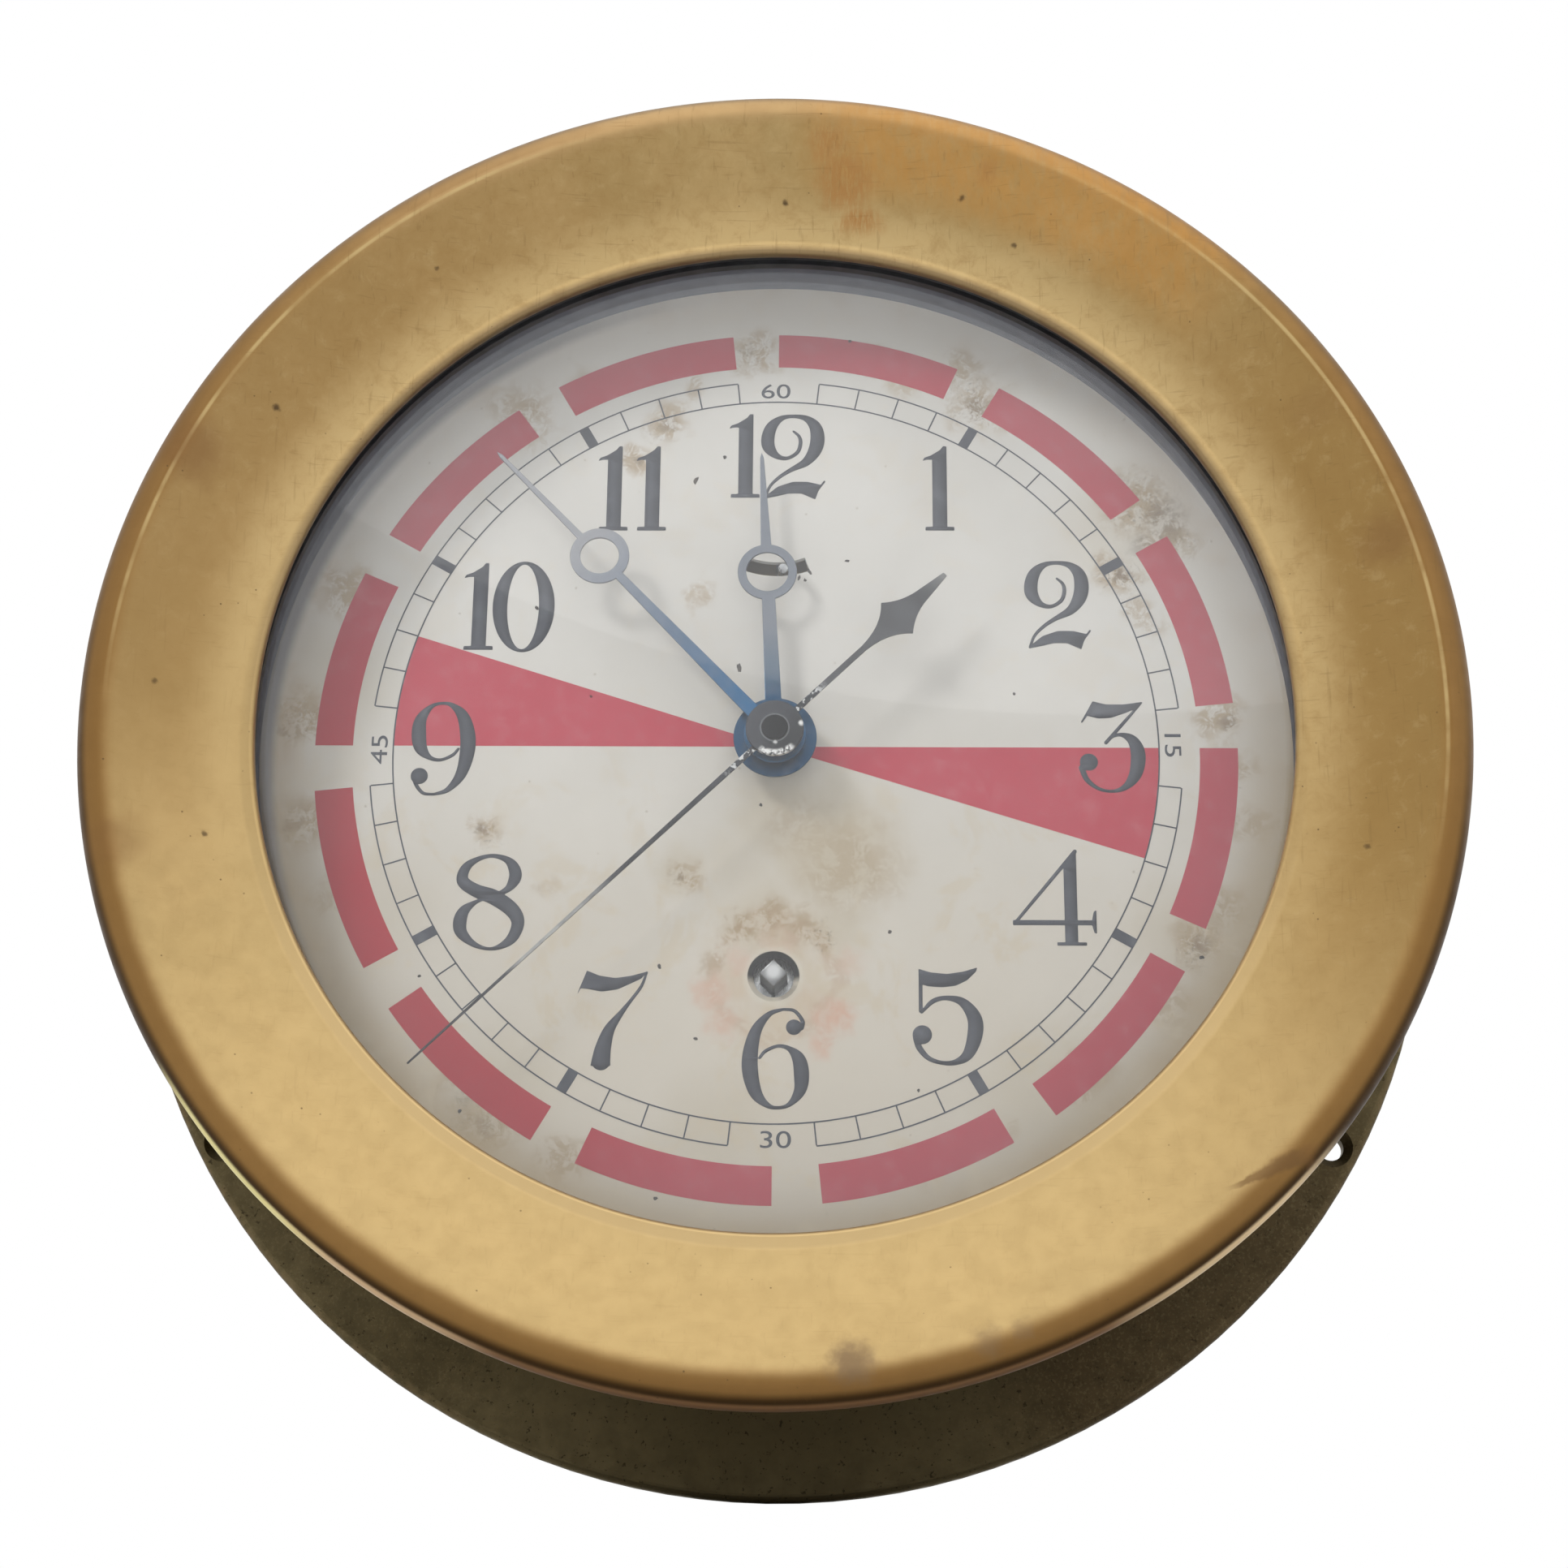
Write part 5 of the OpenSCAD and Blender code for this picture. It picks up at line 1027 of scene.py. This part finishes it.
LIP_R = 75.6
LIP_Z = LIP_BACK_Z + 1.3
BEAD = 3.7
BEAD_X, BEAD_Z = BEZEL_R - BEAD, BEZEL_FRONT_Z - BEAD
DISH = 0.9
SKIRT_R, SKIRT_BORE = 88.0, DRUM_R + 0.15
POCKET_R = 81.15


def bezel_profile():
    """The bezel's section, as the CAD has it but with finer curves."""
    bead = arc_points((BEAD_X, BEAD_Z), BEAD, 117, -140, 40)
    start_r, start_z = LIP_R + 1.8, LIP_Z + 0.1
    end_r, end_z = polar((BEAD_X, BEAD_Z), BEAD, 125)
    face = [(start_r + (end_r - start_r) * t, start_z + (end_z - start_z) * t - 4 * DISH * t * (1 - t))
            for t in np.linspace(0, 1, 33)]
    step_z, skirt_z = DRUM_FRONT_Z + 0.8, DRUM_FRONT_Z - 7.2
    back = [(BEAD_X - 4.4, BEAD_Z - 1.9), (SKIRT_R + 0.2, BEAD_Z - 4.6), (SKIRT_R, BEAD_Z - 4.8),
            (SKIRT_R, skirt_z + 0.5), (SKIRT_R - 0.15, skirt_z + 0.15), (SKIRT_R - 0.5, skirt_z),
            (SKIRT_BORE + 0.25, skirt_z), (SKIRT_BORE, skirt_z + 0.25), (SKIRT_BORE, step_z),
            (POCKET_R, step_z), (POCKET_R, LIP_BACK_Z)]
    lip = [(LIP_R + 0.3, LIP_BACK_Z), (LIP_R + 0.09, LIP_BACK_Z + 0.09), (LIP_R, LIP_BACK_Z + 0.3)]
    return lip + arc_points((LIP_R + 0.7, LIP_Z - 0.3), 0.7, 180, 90, 8) + face + bead + back


bezel = make_piece("bezel_turned", *lathe(bezel_profile()), BY_SLOT["bezel_brass"], "bezel_body",
                   "bezel_brass", smooth=40.0)
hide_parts("bezel_ring")

# the drum's screw thread, seen when the bezel is off
PITCH = 1.5
THREAD_Z = DRUM_FRONT_Z - 6.6
ROOT, CREST, UNDER = DRUM_R + 0.003, DRUM_R + 0.12, DRUM_R - 0.15
ridges = [(ROOT, THREAD_Z)]
for z in (THREAD_Z + k * PITCH for k in range(4)):
    ridges += [(ROOT, z + 0.25), (CREST, z + 0.65), (CREST, z + 0.85), (ROOT, z + 1.25)]
ridges += [(ROOT, DRUM_FRONT_Z - 0.62), (UNDER, DRUM_FRONT_Z - 0.7), (UNDER, THREAD_Z)]
make_piece("case_thread", *lathe(ridges, 192), BY_SLOT["case_brass"], "case_body", "case_brass",
           smooth=50.0)

# the dial's lip slopes in round the winding hole
HOLE_R, HOLE_FOOT = 3.795, 2.95
slope = [(HOLE_R, DIAL_Z - 0.02), (HOLE_FOOT, DIAL_Z - 0.9),
         (HOLE_FOOT, DIAL_Z - 0.98), (HOLE_R, DIAL_Z - 0.98)]
make_piece("winding_hole_rim", *lathe(slope, 96, (0.0, -WINDING_DROP)), BY_SLOT["silvered_brass"],
           "case_body", "silvered_brass", smooth=40.0)


def bevelled(node, name, material, width, segments=2):
    """A copy of a CAD node with its sharp edges eased, shown in its place."""
    source = nodes[node]
    mesh = source.data.copy()
    mesh.materials.clear()
    mesh.materials.append(material)
    with reworked(mesh) as opened:
        bmesh.ops.remove_doubles(opened, verts=opened.verts, dist=2e-7)
        bmesh.ops.dissolve_limit(opened, angle_limit=math.radians(1.0), verts=opened.verts,
                                 edges=opened.edges)
    piece = placed(name, mesh)
    bevel = piece.modifiers.new("eased", "BEVEL")
    bevel.width = width * MM
    bevel.segments = segments
    bevel.limit_method = "ANGLE"
    bevel.angle_limit = math.radians(40)
    bevel.use_clamp_overlap = True
    mesh.shade_smooth()
    mesh.set_sharp_from_angle(angle=math.radians(30))
    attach(piece, source["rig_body"])
    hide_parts(node)


HOUR_BLUE = hand_material("blued_hour_hand", (0.0, 0.05, 0.125), (0.08, 0.125, 0.18),
                          (0.165, 0.183, 0.22), 6.4, 18.0)
MINUTE_BLUE = hand_material("blued_minute_hand", (0.018, 0.115, 0.255), (0.068, 0.122, 0.205),
                            (0.28, 0.285, 0.31), 5.0, 42.0)
bevelled("hour_hand", "hour_hand_eased", HOUR_BLUE, 0.08)
bevelled("minute_hand", "minute_hand_eased", MINUTE_BLUE, 0.06)
bevelled("second_hand", "seconds_hand_eased", seconds_material(), 0.04)
bevelled("second_hand_collet", "seconds_collet_eased", collet_material(), 0.1)
bevelled("minute_hand_washer", "minute_washer_eased", BY_SLOT["dark_steel"], 0.05)
bevelled("dial_screws", "dial_screws_eased", BY_SLOT["movement_brass"], 0.08)
bevelled("barrel_arbor", "winding_arbor_eased", arbor_material(), 0.6, 5)


# ---------------------------------------------------------------- surroundings


WHITE = (1.0, 1.0, 1.0)
FLOOR_SIZE = 6.0
FLOOR_GAP = 0.2
FADE = (260.0, 900.0)
PHOTO_WIDTH = 1932.0
FOCAL_PIXELS = 3374.14
SENSOR = 36.0
CAMERA_PLACE = (0.006707, -0.43579, -0.13972)
CAMERA_TILTS = ((-0.44, "Z"), (-19.0748, "X"), (-0.797, "Y"))
LIGHTS_AIM = (0.0, -0.05, 0.0)


def build_world():
    """Soft light from before and above. What is seen directly, in metal or through glass is white."""
    world = bpy.data.worlds.new("studio")
    scene.world = world
    world.use_nodes = True
    s = Shader(world.node_tree)
    direction = s.add("TexCoord").outputs["Generated"]
    x, y, z = s.add("SeparateXYZ", {0: direction}).outputs
    level = s.span(z, -1.0, 1.0, 0.0, 1.0, smooth=False)
    front = s.ramp(level, [(0.0, (0.3,) * 3), (0.35, (0.42,) * 3), (0.59, (0.55,) * 3),
                           (0.75, (0.82,) * 3), (1.0, (0.92,) * 3)])
    dimmer = s.span(s.math("ABSOLUTE", x), 0.35, 0.95, 1.0, 0.7)
    grey = s.add("CombineColor", {0: dimmer, 1: dimmer, 2: dimmer}).outputs[0]
    shaded = s.mix(1.0, front, grey, "MULTIPLY")
    shaded = s.mix(s.span(y, -0.05, 0.05), shaded, WHITE)
    path = s.add("LightPath").outputs
    seen = s.math("MAXIMUM", path["Is Camera Ray"], path["Is Transmission Ray"])
    color = s.mix(s.math("MAXIMUM", seen, path["Is Glossy Ray"]), shaded, WHITE)
    background = s.add("Background", {"Color": color, "Strength": 1.0}).outputs[0]
    s.add("OutputWorld", {"Surface": background})


def build_floor():
    """A pale floor just under the flange. From below it is clear, and it fades to white."""
    bpy.ops.mesh.primitive_plane_add(size=FLOOR_SIZE, location=(0.0, 0.0, -(FLANGE_R + FLOOR_GAP) * MM))
    floor = bpy.context.object
    floor.name = "floor"
    s = Surface("floor_pale")
    tone = s.mix(s.noise(s.p, 0.01, 3.0), (0.80, 0.80, 0.80), (0.83, 0.83, 0.83))
    plain = s.principled(color=tone, rough=0.9)
    white = s.add("Emission", {"Color": (*WHITE, 1.0), "Strength": 1.0}).outputs[0]
    far = s.span(s.vector("LENGTH", s.p), *FADE)
    surface = s.add("MixShader", {0: far, 1: plain, 2: white}).outputs[0]
    under = s.add("NewGeometry").outputs["Backfacing"]
    clear = s.add("BsdfTransparent").outputs[0]
    floor.data.materials.append(s.output(s.add("MixShader", {0: under, 1: surface, 2: clear}).outputs[0]))


def aim(thing, place, target):
    thing.location = place
    thing.rotation_euler = (Vector(target) - Vector(place)).to_track_quat("-Z", "Y").to_euler()


def build_lamp(name, size, power, place, in_reflections=True):
    lamp = bpy.data.lights.new(name, "AREA")
    lamp.shape = "DISK"
    lamp.size = size
    lamp.energy = power
    holder = placed(name, lamp)
    holder.visible_glossy = in_reflections
    aim(holder, place, LIGHTS_AIM)


def build_camera():
    """The photograph's camera, as it was fitted to the clock's circles."""
    data = bpy.data.cameras.new("photo")
    data.sensor_fit = "HORIZONTAL"
    data.sensor_width = SENSOR
    data.lens = FOCAL_PIXELS * SENSOR / PHOTO_WIDTH
    data.clip_start = 0.01
    data.clip_end = 20.0
    camera = placed("photo", data)
    roll, pitch, yaw = (Matrix.Rotation(math.radians(angle), 3, axis) for angle, axis in CAMERA_TILTS)
    turn = Matrix.Rotation(math.radians(90.0), 3, "X") @ (roll @ pitch @ yaw).transposed()
    camera.matrix_world = Matrix.Translation(CAMERA_PLACE) @ turn.to_4x4()
    scene.camera = camera


build_world()
build_floor()
build_lamp("broad", size=1.3, power=2.0, place=(0.1, -0.55, 0.75))
build_lamp("upper_left", size=0.2, power=2.4, place=(-0.45, -0.55, 0.45), in_reflections=False)
build_camera()
scene.view_settings.view_transform = "Standard"
